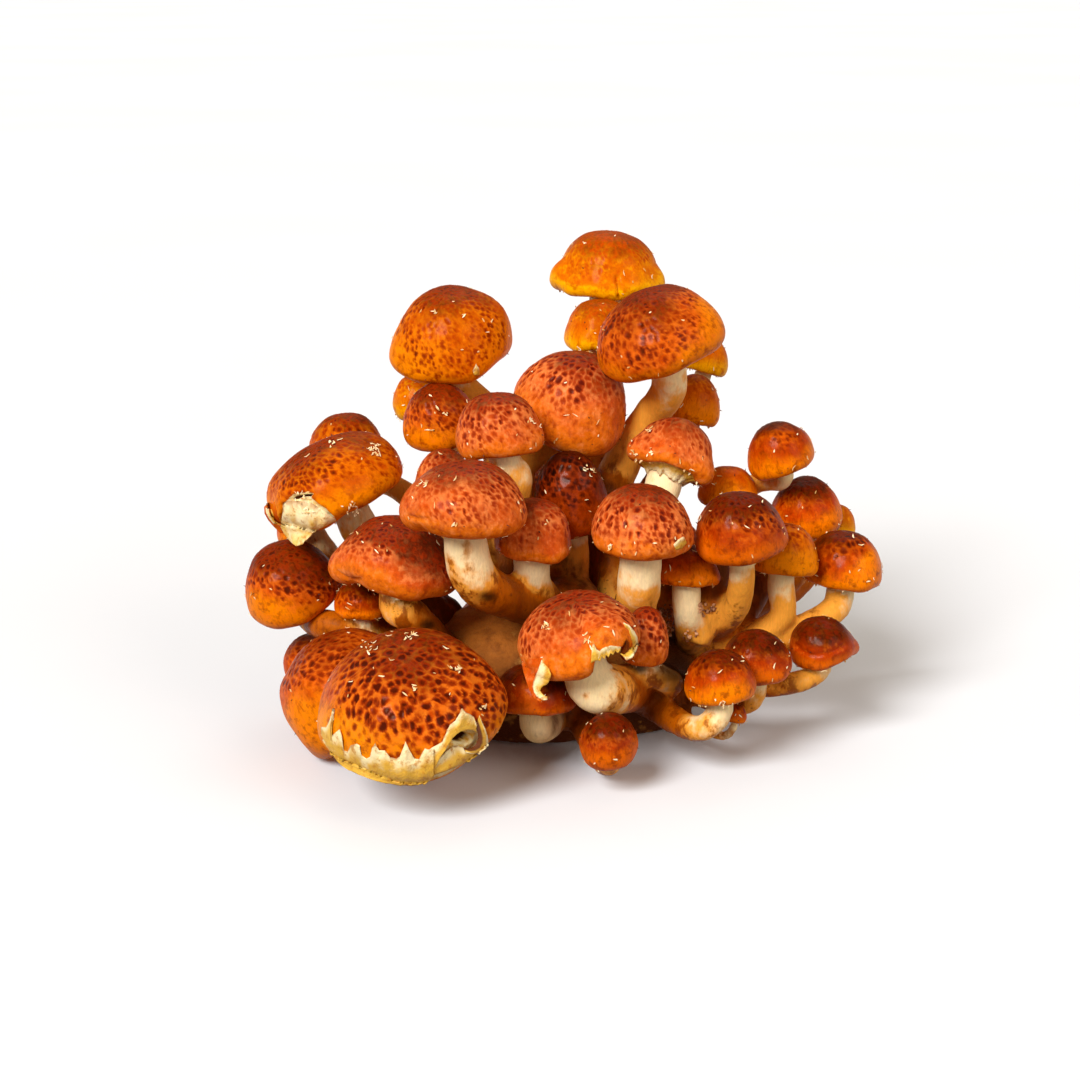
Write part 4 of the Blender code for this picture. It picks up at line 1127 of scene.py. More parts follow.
def make_cap(mushroom, look, materials, rng):
    """A cap with its scaly skin and its gills.

    Gives its shape, and a tree of its faces without wounds, for what is laid on it.
    """
    shape = CapShape(mushroom, look, rng)
    scales = Scales(shape, rng)
    columns = ring_count(shape.radius)
    skin_rows = int(shape.length / SKIN_STEP)
    around, share, inner = cap_grid(columns, skin_rows)
    flesh, gills = gilled(shape, share)
    points, out = shape.point(around, share, np.where(inner, flesh, 0.0))
    scale, ridge = scales.cover(shape, around, share)
    pushed, tone = wounded(mushroom, shape, points, out)
    tone = np.where(inner, 0.0, tone)
    relief = (RIDGE_HEIGHT * ridge - SCALE_DEPTH * scale) * np.clip(1 - tone, 0, 1)
    points += out * np.where(inner, 0.0, relief)[:, None]
    ends = [shape.point(np.zeros(1), np.zeros(1), sunk)[0] for sunk in (0.0, FLESH_SHARE * shape.radius)]
    unhurt = transformed(shape.matrix, np.concatenate([points, *ends]))
    points -= out * pushed[:, None]
    every = transformed(shape.matrix, np.concatenate([points, *ends]))
    faces = cap_faces(skin_rows + GILL_ROWS, columns)
    mesh = make_mesh(mushroom.name + "_skin", every, faces)
    set_gill_faces(mesh, columns, skin_rows)
    crown_glow = shape.glow(np.zeros(1), np.full(1, 0.02))[0]
    painted = {
        "rise": (shape.glow(around, share), crown_glow), "scale": (scale, look.dark * 0.6),
        "ridge": (ridge, 0.0), "gill": (np.where(inner, gills, 0), 0.0), "torn": (tone, 0.0),
    }
    for kind, (values, at_crown) in painted.items():
        paint(mesh, kind, np.concatenate([values, [at_crown, 0.0]]))
    skin = on_ring(around, share * shape.length)
    paint(mesh, "skin", np.concatenate([skin, [(1, 0, 0), (1, 0, 0)]]))
    add_piece(mushroom.name + "_skin", mesh, materials, (mushroom.name,))
    return shape, BVHTree.FromPolygons(unhurt.tolist(), faces)


# Torn veils and what lies on the caps

def shell_mesh(name, grid, thickness):
    """A thin closed sheet on a grid of points in metres. The faces of its front come first."""
    rows, columns = grid.shape[:2]
    normals = np.cross(np.gradient(grid, axis=1), np.gradient(grid, axis=0))
    normals /= np.maximum(np.linalg.norm(normals, axis=2), 1e-9)[:, :, None]
    if np.einsum("ijk,ijk->ij", normals, np.array(viewer_eye()) - grid).mean() < 0:
        normals = -normals
    back = grid - normals * thickness * MM
    points = np.concatenate([grid.reshape(-1, 3), back.reshape(-1, 3)])
    numbers = np.arange(rows * columns).reshape(rows, columns)
    corners = (numbers[:-1, :-1], numbers[:-1, 1:], numbers[1:, 1:], numbers[1:, :-1])
    front = np.stack(corners, 2).reshape(-1, 4)
    loop = np.array([*numbers[0, :-1], *numbers[:-1, -1], *numbers[-1, :0:-1], *numbers[:0:-1, 0]])
    ahead = np.roll(loop, -1)
    sides = np.stack([loop, ahead, ahead + numbers.size, loop + numbers.size], 1)
    faces = np.concatenate([front, front[:, ::-1] + numbers.size, sides])
    mesh = make_mesh(name, points, faces.tolist())
    shape = bmesh.new()
    shape.from_mesh(mesh)
    bmesh.ops.recalc_face_normals(shape, faces=shape.faces)
    shape.to_mesh(mesh)
    shape.free()
    behind = (np.arange(len(faces)) >= len(front)).astype(np.int32)
    mesh.polygons.foreach_set("material_index", behind)
    return mesh


def paint_edges(mesh, edge, columns):
    """Paints a sheet's rows, on its front and its back, from its first edge to its second."""
    paint(mesh, "edge", np.tile(np.repeat(edge, columns), 2))


def make_sheet(sheet, tree, fronts, veil):
    """A torn sheet, laid on its cap by its places in the picture."""
    pairs = np.array(sheet.pairs, float)
    lengths = np.linalg.norm(np.diff(pairs[:, :2], axis=0), axis=1)
    stations = []
    for number, length in enumerate(lengths):
        steps = max(int(length / SHEET_STEP), 1)
        stations.extend(number + np.arange(steps) / steps)
    stations.append(len(lengths))
    ends = np.array([np.interp(stations, np.arange(len(pairs)), values) for values in pairs.T])
    first, second = ends[:3], ends[3:]
    widest = np.hypot(*(second - first)[:2]).max()
    rows = max(int(widest / SHEET_ROW), 4) + 1
    grid = np.zeros((rows, len(stations), 3))
    for row, share in enumerate(np.linspace(0, 1, rows)):
        x, y, lift = first * (1 - share) + second * share
        lift = lift + SHEET_RIPPLE * noise(np.stack([x, y, np.full_like(x, 7.0)], 1), RIPPLE_SIZE)
        for column, place in enumerate(zip(x, y, lift)):
            grid[row, column] = on_carrier(tree, *place)
    mesh = shell_mesh(sheet.name, grid, SHEET_THICK)
    paint_edges(mesh, np.linspace(0, sheet.depth, rows), len(stations))
    paint(mesh, "rise", np.full(len(mesh.vertices), SHEET_RISE))
    if sheet.front == "veil":
        add_piece(sheet.name, mesh, [veil, veil])
    else:
        add_piece(sheet.name, mesh, [fronts[sheet.front], veil])


def make_skirt(mushroom, shape, veil, start, end, drop):
    """A veil from a cap's lip in to its stem, between two compass points. Its lower edge is ragged."""
    around = np.radians(np.linspace(start, end, max(int((end - start) / SKIRT_TURN), 6)))
    lip, _ = shape.point(around, np.full_like(around, 0.985), 0.25)
    rim = on_ring(around, shape.seed[1])
    low = (CAP_UNDERSIDE - CAP_MIDDLE) * shape.tall - drop + 0.8 * noise(rim, 0.12)
    ring = on_ring(around, low, mushroom.stem / 2 * 1.06 + 0.12 * noise(rim, 0.05))
    grid = np.zeros((SKIRT_ROWS, len(around), 3))
    for row, share in enumerate(np.linspace(0, 1, SKIRT_ROWS)):
        inward = np.array((share**0.7, share**0.7, share**1.3))
        grid[row] = lip * (1 - inward) + ring * inward
    grid = transformed(shape.matrix, grid.reshape(-1, 3)).reshape(grid.shape)
    mesh = shell_mesh("veil_" + mushroom.name.removeprefix("cap_"), grid, SKIRT_THICK)
    paint_edges(mesh, np.linspace(1, 0, SKIRT_ROWS), len(around))
    add_piece(mesh.name, mesh, [veil, veil])


class Scraps:
    """Many small things joined in one mesh: their points in mm, their faces, and a tone for each point."""

    def __init__(self):
        self.points = []
        self.faces = []
        self.tones = []

    def add(self, points, faces, tone):
        start = len(self.points)
        self.points.extend(points)
        self.faces.extend([tuple(corner + start for corner in face) for face in faces])
        self.tones.extend([tone] * len(points))

    def sliver(self, place, way, out, length, width, curl, tone):
        """A thin bent sliver that lies on a surface along way."""
        side = way.cross(out).normalized() * (width / 2)
        thick = out * 0.12
        points = []
        stations = ((-0.5, 0.25, curl), (-0.2, 1.0, 0.0), (0.2, 0.8, 0.05), (0.5, 0.1, curl * 0.6))
        for along, wide, high in stations:
            middle = place + way * (along * length) + out * (high * length + 0.08)
            left, right = middle - side * wide, middle + side * wide
            points += [left, right, right + thick, left + thick]
        faces = [(3, 2, 1, 0), (12, 13, 14, 15)]
        for start in (0, 4, 8):
            for corner in range(4):
                following = (corner + 1) % 4
                faces.append((start + corner, start + following, start + 4 + following, start + 4 + corner))
        self.add(points, faces, tone)

    def spike(self, place, way, length, width, tone):
        """A small four-sided point that stands along way."""
        side = way.orthogonal().normalized()
        other = way.cross(side)
        base = place - way * 0.1
        points = [base + side * width, base + other * width, base - side * width, base - other * width]
        points.append(place + way * length)
        self.add(points, [(0, 1, 4), (1, 2, 4), (2, 3, 4), (3, 0, 4), (3, 2, 1, 0)], tone)

    def lump(self, place, radius, rng, tone):
        """A small rough lump."""
        corners, faces = ball_mesh(1, 1.0)
        self.add([place + corner * (radius * rng.uniform(0.7, 1.2)) for corner in corners], faces, tone)

    def finish(self, name, material):
        mesh = make_mesh(name, np.array(self.points) * MM, self.faces)
        mesh.shade_flat()
        paint(mesh, "tone", self.tones)
        add_piece(name, mesh, [material])


def any_way(out, rng):
    """A random direction along a surface that faces out."""
    angle = rng.uniform(0, ANY_TURN)
    first = out.orthogonal().normalized()
    return first * math.cos(angle) + out.cross(first) * math.sin(angle)


def scatter_on_cap(shape, husks, spikes, rng):
    """Slivers of husk on a cap's skin, a fringe of veil at its lip, and dark points where scales stand up."""
    size = shape.radius / USUAL_RADIUS
    down = Vector(-shape.turn[:, 2])

    def placed(count, low, high, power):
        around = rng.uniform(0, 2 * math.pi, count)
        points, out = shape.point(around, rng.uniform(low, high, count) ** power)
        places = transformed(shape.matrix, points) / MM
        return [(Vector(place), Vector(way).normalized()) for place, way in zip(places, out @ shape.turn.T)]

    for place, out in placed(int(6 + 15 * size), 0.05, 0.92, 0.6):
        length = rng.choice((0.7, 0.9, 1.2, 1.7))
        way = any_way(out, rng)
        width, curl = rng.uniform(0.2, 0.42), rng.uniform(0.0, 0.3)
        husks.sliver(place, way, out, length, width, curl, rng.uniform(0, 1))
    for place, out in placed(int(5 + 10 * size), 0.965, 0.995, 1.0):
        way = (down + out * rng.uniform(0.1, 0.8) + any_way(out, rng) * 0.5).normalized()
        aside = way.orthogonal().normalized()
        length, width = rng.uniform(0.6, 1.5), rng.uniform(0.3, 0.8)
        husks.sliver(place, way, aside, length, width, 0.1, rng.uniform(0.3, 1))
    for place, out in placed(int(3 + 5 * size), 0.1, 0.9, 0.6):
        way = (out + any_way(out, rng) * 0.5).normalized()
        spikes.spike(place, way, rng.uniform(0.4, 0.9), rng.uniform(0.12, 0.25), rng.uniform(0, 1))


def scatter_heap(tree, x, y, count, wide, husks, rng):
    """A heap of slivers at a place in the picture."""
    for _ in range(count):
        right, below = rng.normal(0, wide / 2, 2)
        place = on_carrier(tree, x + right, y + below, 0.1)
        out = tree.find_nearest(place)[1]
        way = any_way(out, rng)
        length, width, curl = rng.uniform(0.5, 1.6), rng.uniform(0.2, 0.5), rng.uniform(0, 0.5)
        husks.sliver(place / MM, way, out, length, width, curl, rng.uniform(0, 1))


def scatter_crumbs(trees, crumbs, rng):
    """Crumbs of substrate on the stems and the base, at places in the picture."""
    for x, y, half_wide, half_high, count in CRUMBS:
        for _ in range(count):
            right, below = rng.uniform(-half_wide, half_wide), rng.uniform(-half_high, half_high)
            eye, way = sight_line(x + right, y + below)
            hits = [tree.ray_cast(eye, way) for tree in trees]
            seen = [hit for hit in hits if hit[0] is not None]
            if seen:
                place, out, _, _ = min(seen, key=lambda hit: hit[3])
                radius, tone = rng.uniform(0.3, 0.75), rng.uniform(0, 1)
                crumbs.lump(place / MM + out * 0.2, radius, rng, tone)


# Stems and base

def base_point(compass, height):
    """A point on the base's dome, in metres, and the way out of the dome there."""
    x, y, z = direction(compass, height)
    dome = BASE_HEIGHT - BASE_BELLY
    point = Vector((BASE_HALF_WIDTH * x, BASE_HALF_DEPTH * y, dome * z))
    out = Vector((point.x / BASE_HALF_WIDTH**2, point.y / BASE_HALF_DEPTH**2, point.z / dome**2))
    return (point + Vector((0, 0, BASE_BELLY))) * MM, out.normalized()


def arched_path(start, leave, end, arrive, pieces):
    """Points on one arch from start, setting off along leave, to end, coming in along arrive."""
    reach = (end - start).length * ARCH_REACH
    first = start + leave * reach
    second = end - arrive * reach
    found = []
    for t in np.arange(pieces + 1) / pieces:
        there = start * (1 - t) ** 3 + first * 3 * t * (1 - t) ** 2
        found.append(there + second * 3 * t**2 * (1 - t) + end * t**3)
    return found


def rounded_off(points, times):
    """A path with its corners rounded off, from the same start to the same end."""
    for _ in range(times):
        middle = points[1:-1] * 0.5 + (points[:-2] + points[2:]) * 0.25
        points = np.concatenate([points[:1], middle, points[-1:]])
    return points


def stem_points(mushroom, bunch):
    """A stem's centre line in mm: from the bunch's foot, through any points given, into its cap's flesh."""
    place = cap_matrix(mushroom)
    axis = (place.to_3x3() @ Vector((0, 0, 1))).normalized()
    top = place @ Vector((0, 0, (CAP_UNDERSIDE - CAP_MIDDLE) * mushroom.tall - GAP))
    neck = top - axis * (NECK_SHARE * mushroom.wide * MM)
    foot, out = base_point(bunch.compass, bunch.height)
    through = [as_seen(*place_on_way) for place_on_way in mushroom.via]
    towards = (through + [neck])[0] - foot
    sideways = (towards - out * towards.dot(out)).normalized()
    root = foot + (sideways * FOOT_SPREAD - out * FOOT_SINK) * (bunch.foot * MM)
    if through:
        way = smooth_path([root, *through, neck], 8)
    else:
        leave = (out + towards.normalized()).normalized()
        way = arched_path(root, leave, neck, axis, 12)
    lowest = mushroom.stem * FLOOR_SHARE * MM
    for point in way:
        point.z = max(point.z, lowest)
    inside = top + axis * (0.3 * mushroom.tall * MM)
    return rounded_off(np.array([*way, neck.lerp(top, 0.5), top, inside]) / MM, 5)


def tube(points, radii):
    """A closed tube round a path: its points and faces."""
    ways = np.gradient(points, axis=0)
    ways /= np.linalg.norm(ways, axis=1)[:, None]
    side = np.cross(ways[0], (0.3, 0.9, 0.2))
    angles = np.arange(STEM_SIDES) / STEM_SIDES * 2 * math.pi
    rings = []
    for point, way, radius in zip(points, ways, radii):
        side = side - way * side.dot(way)
        side /= np.linalg.norm(side)
        circle = np.outer(np.cos(angles), side) + np.outer(np.sin(angles), np.cross(way, side))
        rings.append(point + radius * circle)
    found = np.concatenate(rings)
    faces = [tuple(reversed(face)) for face in grid_faces(len(points), STEM_SIDES)]
    faces.append(tuple(reversed(range(STEM_SIDES))))
    faces.append(tuple(range(len(found) - STEM_SIDES, len(found))))
    return found, faces


def fused(name, solids, voxel):
    """Solids that overlap, joined into one skin and softened where they meet. Points are in mm."""
    points = []
    faces = []
    for solid_points, solid_faces in solids:
        start = len(points)
        points.extend(solid_points.tolist())
        faces.extend([tuple(corner + start for corner in face) for face in solid_faces])
    mesh = bpy.data.meshes.new(name)
    mesh.from_pydata(points, [], faces)
    rough = bpy.data.objects.new(name, mesh)
    bpy.context.scene.collection.objects.link(rough)
    remesh = rough.modifiers.new("fused", "REMESH")
    remesh.mode = "VOXEL"
    remesh.voxel_size = voxel
    soften = rough.modifiers.new("softened", "SMOOTH")
    soften.factor = 0.5
    soften.iterations = 6
    bpy.context.view_layer.update()
    made = bpy.data.meshes.new_from_object(rough.evaluated_get(bpy.context.evaluated_depsgraph_get()))
    bpy.data.objects.remove(rough, do_unlink=True)
    return made


def along_paths(points, paths):
    """For each path and point: how far along it in mm, how far from its end, and how much it counts there."""
    along = np.zeros((len(paths), len(points)))
    left = np.zeros((len(paths), len(points)))
    off = np.full((len(paths), len(points)), 1e9)
    for number, (path, radius) in enumerate(paths):
        passed = 0.0
        for start, end in zip(path[:-1], path[1:]):
            length = np.linalg.norm(end - start)
            share = np.clip((points - start) @ (end - start) / length**2, 0, 1)
            away = np.linalg.norm(points - start - share[:, None] * (end - start), axis=1) - radius
            closer = away < off[number]
            off[number][closer] = away[closer]
            along[number][closer] = passed + share[closer] * length
            passed += length
        left[number] = passed - along[number]
    counts = np.exp((off.min(axis=0) - off) / STEM_BLEND)
    return along, left, counts / counts.sum(axis=0)


def shade_spotted(points):
    """How much of a dark patch of painted shade each point in mm is in, from 0 to 1."""
    x, y = picture_places(points * MM)
    ragged = 1 + 0.5 * noise(points, 1.6)
    spots = []
    for across, down, wide, high in SHADE_SPOTS:
        off = ((x - across) / wide) ** 2 + ((y - down) / high) ** 2
        spots.append(np.exp(-((off * ragged) ** 2)))
    return np.max(spots, axis=0)


def bunch_solids(bunch, rng):
    """A bunch's stems, walls and foot as solids, the paths of all but the foot, and how each path ends."""
    foot, _ = base_point(bunch.compass, bunch.height)
    solids = []
    paths = []
    ends = []
    for mushroom in bunch.mushrooms:
        path = stem_points(mushroom, bunch)
        shares = np.linspace(0, 1, len(path))
        radii = mushroom.stem / 2 * (FOOT_FLARE + (1 - FOOT_FLARE) * shares)
        radii *= 1 + 0.04 * np.cos(shares * 9 + rng.uniform(0, 6))
        solids.append(tube(path, radii))
        paths.append((path, mushroom.stem / 2))
        ends.append((-0.3 * mushroom.tall, *CLEAN_STEMS.get(mushroom.name, (0, 0))))
    for name, places, thick in WALLS:
        if name == bunch.name:
            path = np.array(smooth_path([as_seen(*place) for place in places], 6)) / MM
            solids.append(tube(path, np.full(len(path), thick / 2)))
            paths.append((path, thick / 2))
            ends.append(WALL_END)
    ball, ball_faces = ball_mesh(4, bunch.foot)
    solids.append((np.array(ball) + np.array(foot) / MM, ball_faces))
    return solids, paths, ends


def make_stems(bunch, material, rng):
    """A bunch of stems fused with their foot. Gives a tree of its faces."""
    solids, paths, ends = bunch_solids(bunch, rng)
    mesh = fused(bunch.name + "_skin", solids, STEM_VOXEL)
    points = mesh_vectors(mesh.vertices, "co")
    along, left, counts = along_paths(points, paths)
    past_end, cream, tan = np.array(ends).T
    from_foot = (along * counts).sum(axis=0)
    from_cap = ((left + past_end[:, None]) * counts).sum(axis=0)
    lumps = layered(points, STEM_BUMPS) + layered(points, STEM_LUMPS) * step_up(18, 0, from_foot)
    points += mesh_vectors(mesh.vertex_normals, "vector") * lumps[:, None]
    points[:, 2] = np.maximum(points[:, 2], STEM_LOWEST)
    reshape_mesh(mesh, points)
    # Painted shade: the stems are darker in the clump's middle, lower down and away from the caps
    off_middle = np.linalg.norm(points[:, :2] / PAINTED_SHADE_OVAL, axis=1)
    inner = step_up(0.9, 0.35, off_middle) * step_up(*PAINTED_SHADE_HEIGHTS, points[:, 2]) * step_up(6, 20, from_cap)
    painted = {
        "from_foot": from_foot, "from_cap": from_cap, "inner": inner, "shade_spot": shade_spotted(points),
        "cream": cream @ counts, "tan": tan @ counts,
    }
    for kind, values in painted.items():
        paint(mesh, kind, values)
    add_piece(bunch.name + "_skin", mesh, [material], (bunch.name,))
    return mesh_tree(mesh)


def make_base(material):
    """The lobed base, with lumps where stems have grown from it, flat under the cut."""
    outline = []
    for row in range(BASE_ROWS + 1):
        rise = math.radians(90 * (1 - row / BASE_ROWS))
        high = BASE_BELLY + (BASE_HEIGHT - BASE_BELLY) * math.sin(rise)
        outline.append((max(math.cos(rise), 0.001), high))
    for row in range(1, BASE_CUT_ROWS + 1):
        down = row / BASE_CUT_ROWS
        outline.append((1 + (BASE_CUT_SHARE - 1) * down, BASE_BELLY * (1 - down)))
    turns = np.arange(BASE_COLUMNS) / BASE_COLUMNS * 2 * math.pi
    lobed = on_ring(turns, 0, 1 + rippled(turns, BASE_LOBES))
    rings = []
    for share, high in outline:
        rings.append(lobed * (BASE_HALF_WIDTH * share, BASE_HALF_DEPTH * share, 0) + (0, 0, high))
    every = np.concatenate(rings)
    faces = grid_faces(len(outline), BASE_COLUMNS)
    faces.append(tuple(range(BASE_COLUMNS)))
    faces.append(tuple(reversed(range(len(every) - BASE_COLUMNS, len(every)))))
    mesh = fused("base_skin", [(every, faces)], BASE_VOXEL)
    points = mesh_vectors(mesh.vertices, "co")
    lumps = layered(points, BASE_LUMPS) * step_up(0.3, 3.0, points[:, 2]) - BASE_DRAWN_IN
    points += mesh_vectors(mesh.vertex_normals, "vector") * lumps[:, None]
    points[:, 2] = np.maximum(points[:, 2], 0.0)
    reshape_mesh(mesh, points)
    paint(mesh, "shade_spot", shade_spotted(points))
    add_piece("base_skin", mesh, [material], ("base",))
    return mesh_tree(mesh)


# Materials

class Shader:
    """A material's node tree, with short ways to add nodes and join them. Colours are six hex digits."""

    def __init__(self, name):
        self.material = bpy.data.materials.new(name)
        self.material.use_nodes = True
        self.tree = self.material.node_tree
        self.surface = self.tree.nodes["Principled BSDF"]

    def feed(self, socket, value):
        if isinstance(value, bpy.types.NodeSocket):
            self.tree.links.new(value, socket)
        else:
            socket.default_value = colour(value) if isinstance(value, str) else value

    def add(self, kind, inputs, **settings):
        node = self.tree.nodes.new(kind)
        for name, value in settings.items():
            setattr(node, name, value)
        for key, value in inputs.items():
            self.feed(node.inputs[key], value)
        return node

    def set(self, **values):
        """Sets the shader's own sockets. Underscores stand for spaces."""
        for name, value in values.items():
            self.feed(self.surface.inputs[name.replace("_", " ")], value)

    def soak(self, weight, radius, scale):
        """Lets light soak into the surface, to a scale in mm."""
        self.set(Subsurface_Weight=weight, Subsurface_Radius=radius, Subsurface_Scale=scale * MM)

    def attribute(self, name, output="Fac"):
        return self.add("ShaderNodeAttribute", {}, attribute_name=name).outputs[output]

    def math(self, operation, *values):
        return self.add("ShaderNodeMath", dict(enumerate(values)), operation=operation).outputs[0]

    def times(self, first, second):
        return self.math("MULTIPLY", first, second)

    def plus(self, value, share, added):
        """The value with a share of another added to it."""
        return self.math("MULTIPLY_ADD", added, share, value)

    def varied(self, value, swing, noise):
        """The value, raised and lowered by a noise."""
        return self.plus(value, swing, self.math("SUBTRACT", noise, 0.5))

    def span(self, value, low, high, to_low=0.0, to_high=1.0):
        """Maps low to high smoothly onto to_low to to_high."""
        inputs = {"Value": value, "From Min": low, "From Max": high, "To Min": to_low, "To Max": to_high}
        return self.add("ShaderNodeMapRange", inputs, interpolation_type="SMOOTHSTEP").outputs[0]

    def mix(self, share, first, second):
        inputs = {0: share, 6: first, 7: second}
        return self.add("ShaderNodeMix", inputs, data_type="RGBA").outputs[2]

    def place(self):
        """The clump's own coordinates in mm."""
        return self.stretch(self.add("ShaderNodeTexCoord", {}).outputs["Object"], (1000, 1000, 1000))

    def stretch(self, vector, by):
        return self.add("ShaderNodeVectorMath", {0: vector, 1: by}, operation="MULTIPLY").outputs[0]

    def noise(self, vector, scale, detail=3.0, roughness=0.55):
        inputs = {"Vector": vector, "Scale": scale, "Detail": detail, "Roughness": roughness}
        return self.add("ShaderNodeTexNoise", inputs).outputs["Fac"]

    def grained(self, tint, grain, low):
        """A colour made lighter and darker by a fine grain."""
        value = self.span(grain, 0.3, 0.75, low, 1.06)
        return self.add("ShaderNodeHueSaturation", {"Value": value, "Color": tint}).outputs[0]

    def bump(self, height, distance):
        inputs = {"Height": height, "Distance": distance * MM, "Strength": 1.0}
        return self.add("ShaderNodeBump", inputs).outputs[0]


def skin_colour(shader, palette, noises, scale):
    """A whole skin's colour, from its crown to its rim, with its streaks, ridges and scales, and lighter
    peach patches that are partly painted highlight.
    """
    clouds, mottle, fibres, ticks = noises
    height = shader.varied(shader.attribute("rise"), 0.9, clouds)
    height = shader.varied(height, 0.45, mottle)
    upper = shader.mix(shader.span(height, 0.02, 0.66), palette.crown, palette.middle)
    ground = shader.mix(shader.span(height, 0.62, 1.12), upper, palette.rim)
    below_crown = shader.span(height, -0.1, 0.5, 0.15, 1.0)
    # Lighter peach patches in the mottle: partly the skin's own tone, partly painted highlight, kept off the
    # dark crown
    glow = shader.times(shader.span(mottle, 0.5, 0.3, 0.0, 0.55), below_crown)
    tint = shader.mix(glow, ground, palette.ridge)
    tint = shader.mix(shader.span(mottle, 0.5, 0.7, 0.0, 0.65), tint, palette.halo)
    tint = shader.mix(shader.span(fibres, 0.5, 0.7, 0.0, 0.4), tint, palette.halo)
    ticking = shader.times(shader.span(ticks, 0.56, 0.66, 0.0, 0.28), shader.span(height, 1.15, 0.8))
    tint = shader.mix(ticking, tint, palette.halo)
    ridging = shader.times(shader.times(shader.attribute("ridge"), 0.5), below_crown)
    tint = shader.mix(ridging, tint, palette.ridge)
    tint = shader.mix(shader.span(scale, 0.0, 0.42, 0.0, 0.92), tint, palette.halo)
    return shader.mix(shader.span(scale, 0.26, 0.82), tint, palette.scale)


def skin_material(name, palette):
    """Sticky skin: dark at the crown and glowing at the rim, with soft dark scales, lighter peach patches
    that are partly painted highlight, cream tears and painted shade in torn hollows.
    """
    shader = Shader(name)
    torn = shader.attribute("torn")
    skin = shader.attribute("skin", "Vector")
    place = shader.place()
    clouds = shader.noise(place, 0.13)
    mottle = shader.noise(place, 0.42, 4.0, 0.6)
    grain = shader.noise(place, 1.9, 3.0, 0.6)
    fibres = shader.noise(shader.stretch(skin, (6.0, 6.0, 0.22)), 2.0)
    ticks = shader.noise(shader.stretch(skin, (13.0, 13.0, 0.6)), 1.0, 3.0, 0.6)
    scale = shader.varied(shader.attribute("scale"), 0.45, grain)
    scale = shader.varied(scale, 0.4, mottle)
    whole = shader.grained(skin_colour(shader, palette, (clouds, mottle, fibres, ticks), scale), grain, 0.93)
    flesh = shader.mix(shader.span(mottle, 0.4, 0.7), "F6E9B8", "D9A23A")
    bared = shader.mix(shader.span(torn, 0.35, 0.65), whole, flesh)
    relief = shader.plus(shader.plus(shader.times(grain, 0.35), 0.3, fibres), 0.7, mottle)
    # Painted shade: the base colour turns dark brown where a wound is a hollow
    shader.set(
        Base_Color=shader.mix(shader.span(torn, 1.25, 1.7), bared, "3A1604"),
        Roughness=shader.span(shader.span(scale, 0.26, 0.82), 0.0, 1.0, 0.46, 0.33),
        Normal=shader.bump(relief, 0.2),
        Specular_IOR_Level=0.08,
        Specular_Tint="FFA866",
        Coat_Weight=palette.gloss,
        Coat_Roughness=0.16,
    )
    shader.soak(0.08, (1.0, 0.25, 0.05), 1.5)
    return shader.material


def gill_material():
    """The gills and the flesh under a cap: pale edges, and brown depths that are painted shade."""
    shader = Shader("gills")
    place = shader.place()
    pale = shader.mix(shader.span(shader.noise(place, 0.25), 0.35, 0.65), "E2BE78", "B4762C")
    # Painted shade: brown in the depths between the gills
    deep = shader.mix(shader.span(shader.attribute("gill"), -1.0, 1.0), pale, "6A3810")
    shader.set(Base_Color=deep, Roughness=0.65, Normal=shader.bump(shader.noise(place, 1.8), 0.15))
    shader.soak(0.1, (1.0, 0.6, 0.3), 1.5)
    return shader.material


def veil_material():
    """Torn veil: cream to butter yellow, with ochre stains and browned edges, and dark brown painted shade
    deep in a hollow.
    """
    shader = Shader("veil")
    edge = shader.attribute("edge")
    place = shader.place()
    clouds = shader.noise(place, 0.25)
    blots = shader.noise(place, 0.6, 4.0, 0.6)
    deep = shader.varied(edge, 1.2, clouds)
    tint = shader.mix(shader.span(deep, 0.05, 0.6), "F8E6B6", "DEAC3C")
    tint = shader.mix(shader.span(blots, 0.52, 0.68, 0.0, 0.8), tint, "BC7A14")
    browned = shader.times(shader.span(edge, 0.12, 0.0), shader.span(clouds, 0.42, 0.6))
    tint = shader.mix(shader.times(browned, 0.7), tint, "9A5A1A")
    # Painted shade: dark brown where a sheet runs down into a hollow
    tint = shader.mix(shader.span(edge, 1.1, 1.8), tint, "6E360A")
    relief = shader.math("ADD", shader.noise(place, 2.0), blots)
    shader.set(Base_Color=tint, Roughness=0.5, Normal=shader.bump(relief, 0.2), Specular_IOR_Level=0.35)
    shader.soak(0.15, (1.0, 0.7, 0.35), 1.0)
    return shader.material


def scrap_material(name, pale, dark):
    """Small dry things, each of its own tone between two colours."""
    shader = Shader(name)
    grain = shader.noise(shader.place(), 1.6)
    varied = shader.varied(shader.attribute("tone"), 0.8, grain)
    tint = shader.mix(shader.span(varied, 0.0, 1.0), pale, dark)
    shader.set(Base_Color=tint, Roughness=0.5, Normal=shader.bump(grain, 0.1), Specular_IOR_Level=0.4)
    return shader.material


